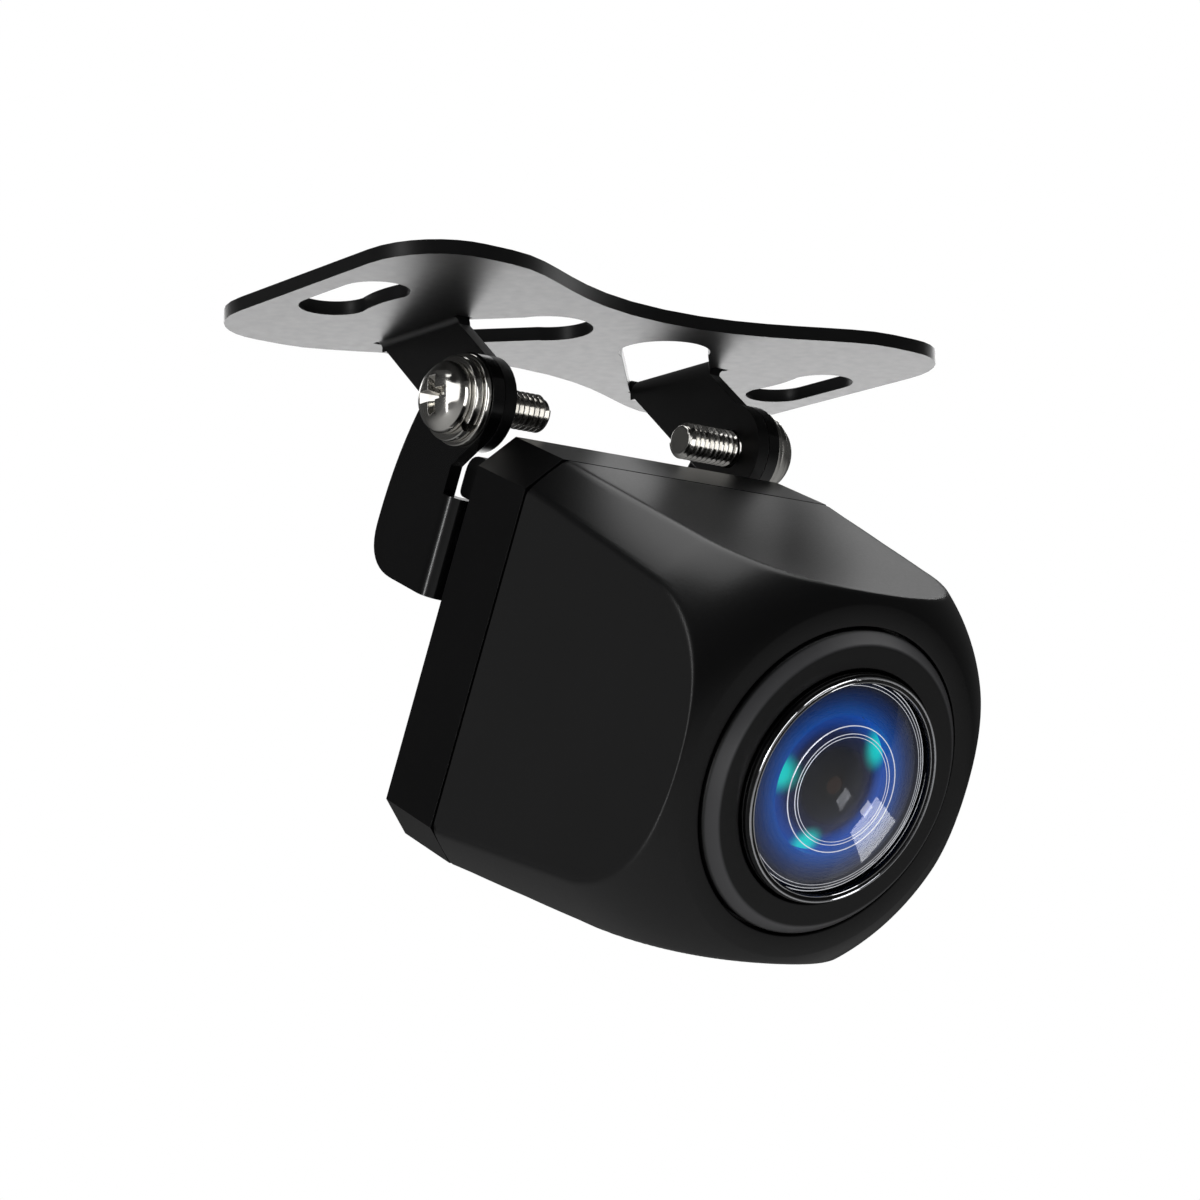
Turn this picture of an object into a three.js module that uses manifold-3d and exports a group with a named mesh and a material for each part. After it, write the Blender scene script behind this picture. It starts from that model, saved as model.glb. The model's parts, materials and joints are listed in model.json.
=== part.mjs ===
// A mini vehicle backup camera that hangs under a bow-tie mounting plate.
// Units are millimetres. +Z is up, +X runs along the plate and the camera looks towards -Y.
// The origin is the centre of the plate's top face.
//
// The camera is drawn in its own frame: the lens axis is local -Y, and "ahead" means the distance
// in front of the seam between the two shells. The hinge line lies behind and above that seam.

import * as THREE from "three";
import { mergeVertices } from "three/addons/utils/BufferGeometryUtils.js";
import Module from "manifold-3d";

const wasm = await Module();
wasm.setup();

// ---------------------------------------------------------------- driving dimensions

const SHEET = 1.1; // thickness of the plate's and the yoke's steel
const BEND_INSIDE = 0.5; // inside radius of every bend
const PLATE_HALF_LENGTH = 27.8;
const PLATE_HALF_LOBE = 15; // half the plate's depth at its wide ends
const PLATE_HALF_WAIST = 9.3;
const PLATE_SLOT = { x: 23, width: 5.4, length: 10.8 };

const FOLD_Y = 5.2; // middle of the ears' roots, behind the plate's centre
const EAR_INNER_X = 12.4;
const EAR_LEAN = THREE.MathUtils.degToRad(47); // how far the ears lean forward from straight down
const EAR_HALF_WIDTH = 3.4;
const EAR_END_RADIUS = 3.75;
const EAR_ROOT = { front: 5.8, back: -4.4, relief: 0.5 }; // reach of the roots from FOLD_Y, and its notch
const WINDOW = { rootX: 13, forward: 7.4, inward: 6.9, radius: 3.7 }; // the hole each ear was bent out of
const FIT = 0.05; // gap between stacked pieces

const HINGE = { y: -2.8, z: -8.3 };
const PITCH = THREE.MathUtils.degToRad(25.5); // how far the camera looks down at rest
const SEAM_AHEAD_OF_HINGE = 12.4;
const AXIS_BELOW_HINGE = 17.1;

const BODY_HALF = 16; // half the camera's width at the seam
const BODY_CORNER = 2.66; // chamfer on its four long edges
const SIDE_DRAFT = 0.08; // how much each side of the front shell draws in per millimetre
const REAR_DEPTH = 6.6; // the rear shell's rear face, behind the seam
const WALL = 1.9;
const FRONT_FACE = 22.85; // the front shell's flat front rim, ahead of the seam
const CAVITY_DEPTH = 15.5;
const SEAL = 0.25; // squeezed thickness of the seal in the seam

const BEZEL = { radius: 11.6, bore: 8.95, back: 21.45, front: 23.8, bevel: 0.85 };
const LENS_RADIUS = 8; // the front lens
const BARREL = { thread: 6, neck: 6.9, head: 8.75, back: 8.6, shoulder: 20.9, front: 23.9 };
const LENS_SEAL = { radius: 8.2, section: 0.42 };

const SCREW = { radius: 1.5, core: 1.25, pitch: 0.5, tip: 7.15, head: 2.8, headHeight: 1.7 };
const FLAT_WASHER = { radius: 3.6, bore: 1.65, thick: 0.5 };
const SPRING_WASHER = { radius: 3.25, bore: 1.65, thick: 0.75 };

const BOARD = { halfWidth: 9.5, halfHeight: 11, thick: 1 };
const SENSOR_BOARD_BACK = 4;
const PROCESSOR_BOARD_BACK = -1.5;
const STANDOFF = { x: 8, z: 9.4, radius: 1.3 };
const SHELL_SCREW = { x: 12, top: 7, bottom: -12, radius: 1, head: 1.8, headHeight: 1.2, boss: 2.35 };

const YOKE_REAR = { ahead: -10.2, top: 9.8, bottom: 1.8 }; // front face and edges of the yoke's web
const LEDGE = { halfWidth: 13.4, bottom: 9.95, top: 13.4, behind: 11.5 }; // the lip above the web
const YOKE_PAD = 9.4; // half-width of the boss that the web is screwed to
const YOKE_SCREW = { x: 6, z: 5.6, radius: 1.2, head: 2.2, headHeight: 1.3 };
const GLAND = { z: -6.5, hole: 3.1, tube: 3, bore: 1.9, flange: 4.6, nut: 5.2 };

// ---------------------------------------------------------------- finishes

const finish = (color, roughness, metalness) => ({ color, roughness, metalness });
const FINISH = {
  blackEnamel: finish(0x0d0d0e, 0.25, 0.2),
  nickel: finish(0xd2d3d6, 0.2, 1),
  blackHousing: finish(0x1b1b1c, 0.55, 0),
  blackSatin: finish(0x101011, 0.45, 0),
  rubber: finish(0x0a0a0a, 0.8, 0),
  chrome: finish(0xe6e7ea, 0.08, 1),
  glass: finish(0x9fb4d8, 0.03, 0),
  coatedGlass: finish(0x12318c, 0.08, 0),
  blueCoating: finish(0x0a2a86, 0.15, 0.3),
  blackAnodised: finish(0x121213, 0.4, 0.6),
  board: finish(0x124a2c, 0.5, 0),
  chip: finish(0x18181a, 0.45, 0),
  steel: finish(0x9a9ca0, 0.3, 1),
  brass: finish(0xc8a44e, 0.3, 1),
};

// ---------------------------------------------------------------- solids

/** The closed geometry as a manifold solid facing outwards. */
function solid(geometry) {
  const bare = geometry.clone();
  bare.deleteAttribute("normal");
  bare.deleteAttribute("uv");
  const merged = mergeVertices(bare, 1e-4);
  const order = [];
  const index = merged.index.array;
  for (let i = 0; i < index.length; i += 3) {
    const [a, b, c] = [index[i], index[i + 1], index[i + 2]];
    if (a !== b && b !== c && c !== a) order.push(a, b, c);
  }
  const build = (triVerts) =>
    new wasm.Manifold(
      new wasm.Mesh({
        numProp: 3,
        vertProperties: merged.attributes.position.array,
        triVerts: new Uint32Array(triVerts),
      }),
    );
  const made = build(order);
  return made.volume() > 0 ? made : build(order.reverse());
}

/** The solid as a BufferGeometry. */
function geometryOf(made) {
  const mesh = made.getMesh();
  const positions = new Float32Array(mesh.numVert * 3);
  for (let i = 0; i < mesh.numVert; i++) {
    const start = i * mesh.numProp;
    positions.set(mesh.vertProperties.subarray(start, start + 3), i * 3);
  }
  return new THREE.BufferGeometry()
    .setAttribute("position", new THREE.BufferAttribute(positions, 3))
    .setIndex(new THREE.BufferAttribute(mesh.triVerts, 1));
}

/** The solid moved sideways off the lens axis. */
const moved = (made, x, z) => solid(geometryOf(made).translate(x, 0, z));

const join = (...solids) => solids.reduce((a, b) => a.add(b));
const cut = (base, ...tools) => tools.reduce((a, b) => a.subtract(b), base);

/** A box between two corners. */
function block(low, high) {
  const size = high.map((value, i) => value - low[i]);
  const middle = high.map((value, i) => (value + low[i]) / 2);
  return solid(new THREE.BoxGeometry(...size).translate(...middle));
}

/** A closed outline turned round the lens axis; each point is [radius, ahead of the seam]. */
function turned(profile, segments = 48) {
  const points = profile.map(([radius, ahead]) => new THREE.Vector2(radius, -ahead));
  return solid(new THREE.LatheGeometry(points, segments));
}

/** A round bar along the lens axis, centred on (x, z). */
function bar(radius, from, to, x = 0, z = 0, segments = 24) {
  const made = new THREE.CylinderGeometry(radius, radius, to - from, segments);
  return solid(made.translate(x, -(from + to) / 2, z));
}

/** A bar along X with its axis on (y, z). */
function crossBar(radius, x0, x1, y, z, segments = 24) {
  const made = new THREE.CylinderGeometry(radius, radius, x1 - x0, segments).rotateZ(Math.PI / 2);
  return solid(made.translate((x0 + x1) / 2, y, z));
}

const ALONG_X = new THREE.Matrix4().makeBasis(
  new THREE.Vector3(0, 1, 0),
  new THREE.Vector3(0, 0, 1),
  new THREE.Vector3(1, 0, 0),
);
const AHEAD = new THREE.Matrix4().makeBasis(
  new THREE.Vector3(1, 0, 0),
  new THREE.Vector3(0, 0, 1),
  new THREE.Vector3(0, -1, 0),
);

/** The outline pushed from one station to another along the direction that the matrix gives. */
function pushed(shape, from, to, matrix, curveSegments = 8) {
  const made = new THREE.ExtrudeGeometry(shape, {
    depth: to - from,
    bevelEnabled: false,
    curveSegments,
  });
  made.translate(0, 0, from);
  return solid(matrix ? made.applyMatrix4(matrix) : made);
}

/** A polygon whose corners [x, y, radius] are rounded. */
function roundedShape(corners) {
  const at = (i) => new THREE.Vector2(...corners[(i + corners.length) % corners.length]);
  const shape = new THREE.Shape();
  corners.forEach(([x, y, radius = 0], i) => {
    const here = new THREE.Vector2(x, y);
    const before = at(i - 1).sub(here).normalize().multiplyScalar(radius).add(here);
    const after = at(i + 1).sub(here).normalize().multiplyScalar(radius).add(here);
    if (i === 0) shape.moveTo(before.x, before.y);
    else shape.lineTo(before.x, before.y);
    if (radius > 0) shape.quadraticCurveTo(x, y, after.x, after.y);
  });
  shape.closePath();
  return shape;
}

/** A square of half-width half whose corners are cut off by corner. */
function chamferedSquare(half, corner) {
  const near = half - corner;
  return roundedShape([
    [half, near],
    [near, half],
    [-near, half],
    [-half, near],
    [-half, -near],
    [-near, -half],
    [near, -half],
    [half, -near],
  ]);
}

/** The mesh of one named piece. */
function piece(name, made, look) {
  const mesh = new THREE.Mesh(geometryOf(made), new THREE.MeshStandardMaterial(look));
  mesh.name = name;
  return mesh;
}

const SIDES = [
  ["left", -1],
  ["right", 1],
];

// ---------------------------------------------------------------- mounting plate

const rootY = (forward) => FOLD_Y - forward; // a distance forward of the ears' roots, as Y

function plateOutline() {
  const shape = new THREE.Shape();
  const [length, lobe, waist] = [PLATE_HALF_LENGTH, PLATE_HALF_LOBE, PLATE_HALF_WAIST];
  shape.moveTo(0, waist);
  const quadrant = (sx, sy, outward) => {
    const curves = [
      [0, waist, 10, waist, 14.5, lobe, 19.5, lobe],
      [22, lobe, 25, lobe, length, 12.5, length, 8.5],
    ];
    const flipped = ([ax, ay, bx, by, cx, cy, dx, dy]) => [dx, dy, cx, cy, bx, by, ax, ay];
    for (const curve of outward ? curves : curves.reverse().map(flipped)) {
      const [ax, ay, bx, by, cx, cy, dx, dy] = curve.map((v, i) => v * (i % 2 ? sy : sx));
      shape.lineTo(ax, ay);
      shape.bezierCurveTo(bx, by, cx, cy, dx, dy);
    }
  };
  quadrant(1, 1, true);
  quadrant(1, -1, false);
  quadrant(-1, -1, true);
  quadrant(-1, 1, false);
  return shape;
}

/** The tongue outline in [forward, down] from the root, used for the ear and for its window. */
function tongueShape(endForward, endDown, endRadius, halfWidth, rootTrim) {
  const along = new THREE.Vector2(Math.sin(EAR_LEAN), Math.cos(EAR_LEAN));
  const across = new THREE.Vector2(along.y, -along.x);
  const end = new THREE.Vector2(endForward, endDown);
  const edge = (side) => {
    const start = end.clone().addScaledVector(across, side * halfWidth);
    return start.addScaledVector(along, (rootTrim - start.y) / along.y);
  };
  const shape = new THREE.Shape();
  const front = edge(1);
  const back = edge(-1);
  const turn = Math.atan2(across.y, across.x);
  const swing = Math.acos(halfWidth / endRadius);
  shape.moveTo(back.x, back.y);
  shape.lineTo(front.x, front.y);
  shape.absarc(end.x, end.y, endRadius, turn - swing, turn + Math.PI + swing, false);
  shape.closePath();
  return shape;
}

function mountingPlate() {
  const flat = pushed(plateOutline(), -SHEET, 0);
  const hingeForward = FOLD_Y - HINGE.y;
  const hingeDown = -SHEET - HINGE.z;
  const bendOutside = BEND_INSIDE + SHEET;
  const bendX = EAR_INNER_X + bendOutside;
  const ears = [];
  const windows = [];
  const slots = [];
  for (const [, side] of SIDES) {
    const mirrored = new THREE.Matrix4().makeScale(side, 1, 1);
    const earPlane = new THREE.Matrix4().makeBasis(
      new THREE.Vector3(0, -1, 0),
      new THREE.Vector3(0, 0, -1),
      new THREE.Vector3(1, 0, 0),
    );
    const tongue = tongueShape(hingeForward, hingeDown, EAR_END_RADIUS, EAR_HALF_WIDTH, 0.5);
    const ear = pushed(tongue, EAR_INNER_X, EAR_INNER_X + SHEET, earPlane, 14);
    const hung = geometryOf(ear).translate(0, FOLD_Y, -SHEET);
    ears.push(solid(hung.applyMatrix4(mirrored)));

    const bend = new THREE.Shape();
    bend.moveTo(bendX + 0.6, 0);
    bend.lineTo(bendX, 0);
    bend.absarc(bendX, -bendOutside, bendOutside, Math.PI / 2, Math.PI, false);
    bend.lineTo(EAR_INNER_X, -bendOutside - 0.3);
    bend.lineTo(EAR_INNER_X + SHEET, -bendOutside - 0.3);
    bend.lineTo(EAR_INNER_X + SHEET, -bendOutside);
    bend.absarc(bendX, -bendOutside, BEND_INSIDE, Math.PI, Math.PI / 2, true);
    bend.lineTo(bendX + 0.6, -SHEET);
    bend.closePath();
    const bendSolid = pushed(bend, -rootY(EAR_ROOT.back), -rootY(EAR_ROOT.front), AHEAD, 6);
    ears.push(solid(geometryOf(bendSolid).applyMatrix4(mirrored)));

    const window = tongueShape(WINDOW.forward, WINDOW.inward, WINDOW.radius, EAR_HALF_WIDTH + 0.1, 0);
    const windowPlane = new THREE.Matrix4().makeBasis(
      new THREE.Vector3(0, -1, 0),
      new THREE.Vector3(-1, 0, 0),
      new THREE.Vector3(0, 0, -1),
    );
    const hole = geometryOf(pushed(window, -1, SHEET + 1, windowPlane, 14));
    const lanced = solid(hole.translate(WINDOW.rootX, FOLD_Y, 0));
    const relief = block(
      [WINDOW.rootX - 0.4, rootY(EAR_ROOT.front + EAR_ROOT.relief), -2],
      [bendX, rootY(EAR_ROOT.back - EAR_ROOT.relief), 1],
    );
    windows.push(solid(geometryOf(join(lanced, relief)).applyMatrix4(mirrored)));

    const reach = (PLATE_SLOT.length - PLATE_SLOT.width) / 2;
    const half = PLATE_SLOT.width / 2;
    const slot = new THREE.Shape();
    slot.absarc(0, reach, half, 0, Math.PI, false);
    slot.absarc(0, -reach, half, Math.PI, 2 * Math.PI, false);
    slot.quadraticCurveTo(half - 0.7, 0, half, reach);
    const slotSolid = pushed(slot, -SHEET - 1, 1, null, 10);
    const place = new THREE.Matrix4().makeTranslation(side * PLATE_SLOT.x, 0, 0);
    if (side > 0) place.multiply(new THREE.Matrix4().makeRotationZ(Math.PI));
    slots.push(solid(geometryOf(slotSolid).applyMatrix4(place)));
  }
  const open = cut(flat, ...windows, ...slots);
  const bent = join(open, ...ears);
  const holes = SIDES.map(([, side]) =>
    crossBar(SCREW.radius + 0.1, side * 13 - 2, side * 13 + 2, HINGE.y, HINGE.z),
  );
  return piece("mounting_plate", cut(bent, ...holes), FINISH.blackEnamel);
}

// ---------------------------------------------------------------- hinge hardware

/** A ring round the hinge line between two stations, outwards from the middle on one side. */
function hingeRing(side, radius, bore, from, thick) {
  const [x0, x1] = [side * from, side * (from + thick)].sort((a, b) => a - b);
  return cut(
    crossBar(radius, x0, x1, HINGE.y, HINGE.z),
    crossBar(bore, x0 - 1, x1 + 1, HINGE.y, HINGE.z),
  );
}

/** A machine screw on the hinge line: a ribbed shank, a domed head and a cross recess. */
function hingeScrew(side, headSeat) {
  const profile = [[0, SCREW.tip]];
  profile.push([SCREW.core - 0.35, SCREW.tip]);
  for (let x = SCREW.tip + 0.35; x < EAR_INNER_X - 0.3; x += SCREW.pitch) {
    profile.push([SCREW.core, x], [SCREW.radius, x + SCREW.pitch / 2]);
  }
  const top = headSeat + SCREW.headHeight;
  profile.push([SCREW.radius, EAR_INNER_X], [SCREW.radius, headSeat], [SCREW.head, headSeat]);
  profile.push([SCREW.head - 0.05, headSeat + 0.6], [SCREW.head - 0.55, top - 0.25]);
  profile.push([SCREW.head - 1.2, top], [0, top]);
  const points = profile.map(([radius, x]) => new THREE.Vector2(radius, x));
  const turnedScrew = new THREE.LatheGeometry(points, 16).rotateZ((-side * Math.PI) / 2);
  const body = solid(turnedScrew.translate(0, HINGE.y, HINGE.z));
  const [x0, x1] = [side * (top - 1), side * (top + 1)].sort((a, b) => a - b);
  const { y, z } = HINGE;
  const recess = [
    block([x0, y - 1.5, z - 0.35], [x1, y + 1.5, z + 0.35]),
    block([x0, y - 0.35, z - 1.5], [x1, y + 0.35, z + 1.5]),
  ];
  return cut(body, ...recess);
}

function hingeHardware() {
  const yokeOuter = EAR_INNER_X + 2 * SHEET + FIT;
  const flatSeat = yokeOuter + FIT;
  const springSeat = flatSeat + FLAT_WASHER.thick + FIT;
  const headSeat = springSeat + SPRING_WASHER.thick + FIT;
  const pieces = [];
  for (const [name, side] of SIDES) {
    const flat = hingeRing(side, FLAT_WASHER.radius, FLAT_WASHER.bore, flatSeat, FLAT_WASHER.thick);
    const ring = hingeRing(
      side,
      SPRING_WASHER.radius,
      SPRING_WASHER.bore,
      springSeat,
      SPRING_WASHER.thick,
    );
    const { y, z } = HINGE;
    const split = block([-20, y - 0.25, z + 1], [20, y + 0.25, z + 5]);
    pieces.push(
      piece("flat_washer_" + name, flat, FINISH.nickel),
      piece("spring_washer_" + name, cut(ring, split), FINISH.nickel),
      piece("hinge_screw_" + name, hingeScrew(side, headSeat), FINISH.nickel),
    );
  }
  return pieces;
}

// ---------------------------------------------------------------- yoke

/** The yoke's side plate, in [ahead, up] from the hinge line. */
function yokeFlangeShape() {
  const shape = new THREE.Shape();
  const front = YOKE_REAR.ahead + SEAM_AHEAD_OF_HINGE - BEND_INSIDE - SHEET;
  const bottom = YOKE_REAR.bottom - AXIS_BELOW_HINGE;
  shape.moveTo(front, bottom);
  shape.lineTo(front, -5);
  shape.absarc(0, 0, EAR_END_RADIUS, -0.62, 2.5, false);
  shape.bezierCurveTo(-4.6, 0.4, -5.4, -1.8, -6, -4.4);
  shape.bezierCurveTo(-6.6, -7, -6.8, -9.5, -6.8, -11.9);
  shape.bezierCurveTo(-6.8, -14.2, -5.4, bottom, -3.2, bottom);
  shape.closePath();
  return shape;
}

function yoke() {
  const inner = EAR_INNER_X + SHEET + FIT;
  const outer = inner + SHEET;
  const bendOutside = BEND_INSIDE + SHEET;
  const face = YOKE_REAR.ahead;
  const parts = [];
  const flange = new THREE.Matrix4().makeBasis(
    new THREE.Vector3(0, -1, 0),
    new THREE.Vector3(0, 0, 1),
    new THREE.Vector3(-1, 0, 0),
  );
  const bend = new THREE.Shape();
  bend.moveTo(outer - bendOutside - 0.5, -face);
  bend.lineTo(outer - bendOutside, -face);
  bend.absarc(outer - bendOutside, -face + bendOutside, bendOutside, -Math.PI / 2, 0, false);
  bend.lineTo(inner, -face + bendOutside);
  bend.absarc(outer - bendOutside, -face + bendOutside, BEND_INSIDE, 0, -Math.PI / 2, true);
  bend.lineTo(outer - bendOutside - 0.5, -face + SHEET);
  bend.closePath();
  for (const [, side] of SIDES) {
    const mirrored = new THREE.Matrix4().makeScale(side, 1, 1);
    const plate = pushed(yokeFlangeShape(), -outer, -inner, flange, 10);
    const placed = geometryOf(plate).translate(0, SEAM_AHEAD_OF_HINGE, AXIS_BELOW_HINGE);
    parts.push(solid(placed.applyMatrix4(mirrored)));
    const corner = pushed(bend, YOKE_REAR.bottom, YOKE_REAR.top, null, 6);
    parts.push(solid(geometryOf(corner).applyMatrix4(mirrored)));
  }
  const reach = outer - bendOutside - 0.4;
  parts.push(
    block([-reach, -face, YOKE_REAR.bottom], [reach, -face + SHEET, YOKE_REAR.top]),
  );
  const hole = crossBar(
    SCREW.radius + 0.15,
    -outer - 1,
    outer + 1,
    SEAM_AHEAD_OF_HINGE,
    AXIS_BELOW_HINGE,
  );
  const screwHoles = SIDES.map(([, side]) =>
    bar(YOKE_SCREW.radius + 0.1, face - SHEET - 1, face + 1, side * YOKE_SCREW.x, YOKE_SCREW.z),
  );
  return piece("yoke", cut(join(...parts), hole, ...screwHoles), FINISH.blackEnamel);
}

/** A pan-head screw pointing ahead, with its head's seat at the given station. */
function panScrew(size, seat, length, x, z) {
  const head = [
    [0, seat - size.headHeight],
    [size.head - 0.5, seat - size.headHeight],
    [size.head, seat - size.headHeight + 0.5],
    [size.head, seat - FIT],
    [size.radius, seat - FIT],
    [size.radius, seat + length - 0.4],
    [size.radius - 0.4, seat + length],
    [0, seat + length],
  ];
  const body = turned(head, 14);
  const top = seat - size.headHeight;
  const arm = size.head * 0.55;
  const recess = [
    block([-arm, -top - 0.6, -0.25], [arm, -top + 1, 0.25]),
    block([-0.25, -top - 0.6, -arm], [0.25, -top + 1, arm]),
  ];
  return moved(cut(body, ...recess), x, z);
}

function yokeScrews() {
  const seat = YOKE_REAR.ahead - SHEET;
  return SIDES.map(([name, side]) => {
    const made = panScrew(YOKE_SCREW, seat, 4, side * YOKE_SCREW.x, YOKE_SCREW.z);
    return piece("yoke_screw_" + name, made, FINISH.steel);
  });
}

// ---------------------------------------------------------------- shells

/** A four-sided block round the lens axis that narrows from one half-width to another. */
function squareFrustum(halfBack, halfFront, from, to) {
  const made = new THREE.CylinderGeometry(
    halfBack * Math.SQRT2,
    halfFront * Math.SQRT2,
    to - from,
    4,
  ).rotateY(Math.PI / 4);
  return solid(made.translate(0, -(from + to) / 2, 0));
}

/** The rounded nose: the outline of the front shell's corners, in [radius, ahead]. */
function noseProfile() {
  const corner = Math.hypot(BODY_HALF, BODY_HALF - BODY_CORNER);
  const nose = new THREE.CubicBezierCurve(
    new THREE.Vector2(18.6, 15),
    new THREE.Vector2(18.05, 18.7),
    new THREE.Vector2(16, 22),
    new THREE.Vector2(13.4, FRONT_FACE),
  );
  const bent = nose.getPoints(7).map((p) => [p.x, p.y]);
  return [[0, 0], [corner, 0], ...bent, [0, FRONT_FACE]];
}

const shellScrewPlaces = () => {
  const { x, top, bottom } = SHELL_SCREW;
  return [
    [-x, top],
    [x, top],
    [-x, bottom],
    [x, bottom],
  ];
};

const standoffPlaces = () => {
  const { x, z } = STANDOFF;
  return [
    [-x, z],
    [x, z],
    [-x, -z],
    [x, -z],
  ];
};

function frontShell() {
  const half = (ahead, inset = 0) => BODY_HALF - inset - SIDE_DRAFT * ahead;
  const outer = squareFrustum(half(0), half(FRONT_FACE), 0, FRONT_FACE).intersect(
    turned(noseProfile(), 56),
  );
  const hollowCorners = [
    [0, -1],
    [18.9, -1],
    [16.6, CAVITY_DEPTH],
    [0, CAVITY_DEPTH],
  ];
  const hollowSides = squareFrustum(half(-1, WALL), half(CAVITY_DEPTH, WALL), -1, CAVITY_DEPTH);
  const hollow = hollowSides.intersect(turned(hollowCorners, 32));
  const bosses = shellScrewPlaces().map(([x, z]) =>
    bar(SHELL_SCREW.boss, 0.6, CAVITY_DEPTH + 0.5, x, z, 20),
  );
  const posts = standoffPlaces().map(([x, z]) =>
    bar(1.5, SENSOR_BOARD_BACK + BOARD.thick + FIT, CAVITY_DEPTH + 0.5, x, z, 16),
  );
  const screwHoles = shellScrewPlaces().map(([x, z]) =>
    bar(SHELL_SCREW.radius + 0.1, -1, 9, x, z, 12),
  );
  const postHoles = standoffPlaces().map(([x, z]) => bar(0.7, 4, 10, x, z, 12));
  const sealSeat = BARREL.shoulder - 2 * LENS_SEAL.section - 2 * FIT;
  const throat = BARREL.neck + 0.3;
  const headRoom = BARREL.head + 0.45;
  const groove = BEZEL.radius + 0.2;
  const boreProfile = [
    [0, CAVITY_DEPTH - 1],
    [throat, CAVITY_DEPTH - 1],
    [throat, sealSeat],
    [headRoom, sealSeat],
    [headRoom, BEZEL.back - FIT],
    [groove, BEZEL.back - FIT],
    [groove, FRONT_FACE + 1],
    [0, FRONT_FACE + 1],
  ];
  const bore = turned(boreProfile, 40);
  const shell = join(cut(outer, hollow), ...bosses, ...posts).intersect(outer);
  return piece("front_shell", cut(shell, bore, ...screwHoles, ...postHoles), FINISH.blackHousing);
}

function rearShell() {
  const front = -SEAL - FIT;
  const outer = pushed(chamferedSquare(BODY_HALF, BODY_CORNER), -REAR_DEPTH, front, AHEAD);
  const hollow = pushed(
    chamferedSquare(BODY_HALF - WALL, BODY_CORNER - 0.5),
    -REAR_DEPTH + WALL,
    1,
    AHEAD,
  );
  const pad = block(
    [-YOKE_PAD, REAR_DEPTH - 0.5, 0.6],
    [YOKE_PAD, -YOKE_REAR.ahead - FIT, YOKE_REAR.top - 0.2],
  );
  const ledgeSection = roundedShape([
    [REAR_DEPTH - 0.5, LEDGE.bottom],
    [LEDGE.behind, LEDGE.bottom, 0.6],
    [LEDGE.behind, LEDGE.top, 1.6],
    [REAR_DEPTH - 0.5, LEDGE.top],
  ]);
  const ledge = pushed(ledgeSection, -LEDGE.halfWidth, LEDGE.halfWidth, ALONG_X, 6);
  const glandBoss = bar(5, -REAR_DEPTH - 1.8, -REAR_DEPTH + 0.5, 0, GLAND.z, 32);
  const glandHole = bar(GLAND.hole, -REAR_DEPTH - 3, 0, 0, GLAND.z, 28);
  const bosses = shellScrewPlaces().map(([x, z]) =>
    bar(SHELL_SCREW.boss, -REAR_DEPTH + 0.5, front, x, z, 20),
  );
  const screwHoles = shellScrewPlaces().map(([x, z]) =>
    join(
      bar(SHELL_SCREW.radius + 0.1, -REAR_DEPTH - 1, 1, x, z, 12),
      bar(SHELL_SCREW.head + 0.15, -REAR_DEPTH - 1, -REAR_DEPTH + 1.3, x, z, 16),
    ),
  );
  const yokeHoles = SIDES.map(([, side]) =>
    bar(YOKE_SCREW.radius + 0.1, -11.4, -6.9, side * YOKE_SCREW.x, YOKE_SCREW.z, 16),
  );
  const shell = join(cut(outer, hollow), pad, ledge, glandBoss, ...bosses);
  return piece(
    "rear_shell",
    cut(shell, glandHole, ...screwHoles, ...yokeHoles),
    FINISH.blackHousing,
  );
}

function shellGasket() {
  const ring = cut(
    pushed(chamferedSquare(BODY_HALF - 0.2, BODY_CORNER), -SEAL, -FIT, AHEAD),
    pushed(chamferedSquare(BODY_HALF - WALL + 0.3, BODY_CORNER - 0.5), -1, 1, AHEAD),
  );
  const holes = shellScrewPlaces().map(([x, z]) => bar(SHELL_SCREW.boss + 0.1, -1, 1, x, z, 20));
  return piece("shell_gasket", cut(ring, ...holes), FINISH.rubber);
}

function shellScrews() {
  const seat = -REAR_DEPTH + 1.3;
  return shellScrewPlaces().map(([x, z], i) =>
    piece("shell_screw_" + (i + 1), panScrew(SHELL_SCREW, seat, 10, x, z), FINISH.steel),
  );
}

// ---------------------------------------------------------------- lens

function frontBezel() {
  const { radius, bore, back, front, bevel } = BEZEL;
  const made = turned(
    [
      [bore, back],
      [radius, back],
      [radius, front - bevel],
      [radius - bevel, front],
      [bore, front],
      [bore, back],
    ],
    48,
  );
  return piece("front_bezel", made, FINISH.blackSatin);
}

function lensBarrel() {
  const { thread, neck, head, back, shoulder, front } = BARREL;
  const made = turned(
    [
      [4.5, back],
      [thread, back],
      [thread, 17],
      [neck, 17],
      [neck, shoulder],
      [head, shoulder],
      [head, front],
      [LENS_RADIUS + FIT, front],
      [LENS_RADIUS + FIT, 21.2],
      [5, 21.2],
      [5, 17.5],
      [4.5, 17.5],
      [4.5, back],
    ],
    32,
  );
  return piece("lens_barrel", made, FINISH.blackAnodised);
}

/** A lens between two spherical faces: edge stations, and how far each face bulges ahead. */
function lensSolid(radius, backEdge, frontEdge, backBulge, frontBulge, steps = 3) {
  const face = (edge, bulge) => {
    const points = [];
    for (let i = 0; i <= steps; i++) {
      const share = i / steps;
      points.push([radius * share, edge + bulge * (1 - share * share)]);
    }
    return points;
  };
  return turned([...face(backEdge, backBulge), ...face(frontEdge, frontBulge).reverse()], 32);
}

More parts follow.
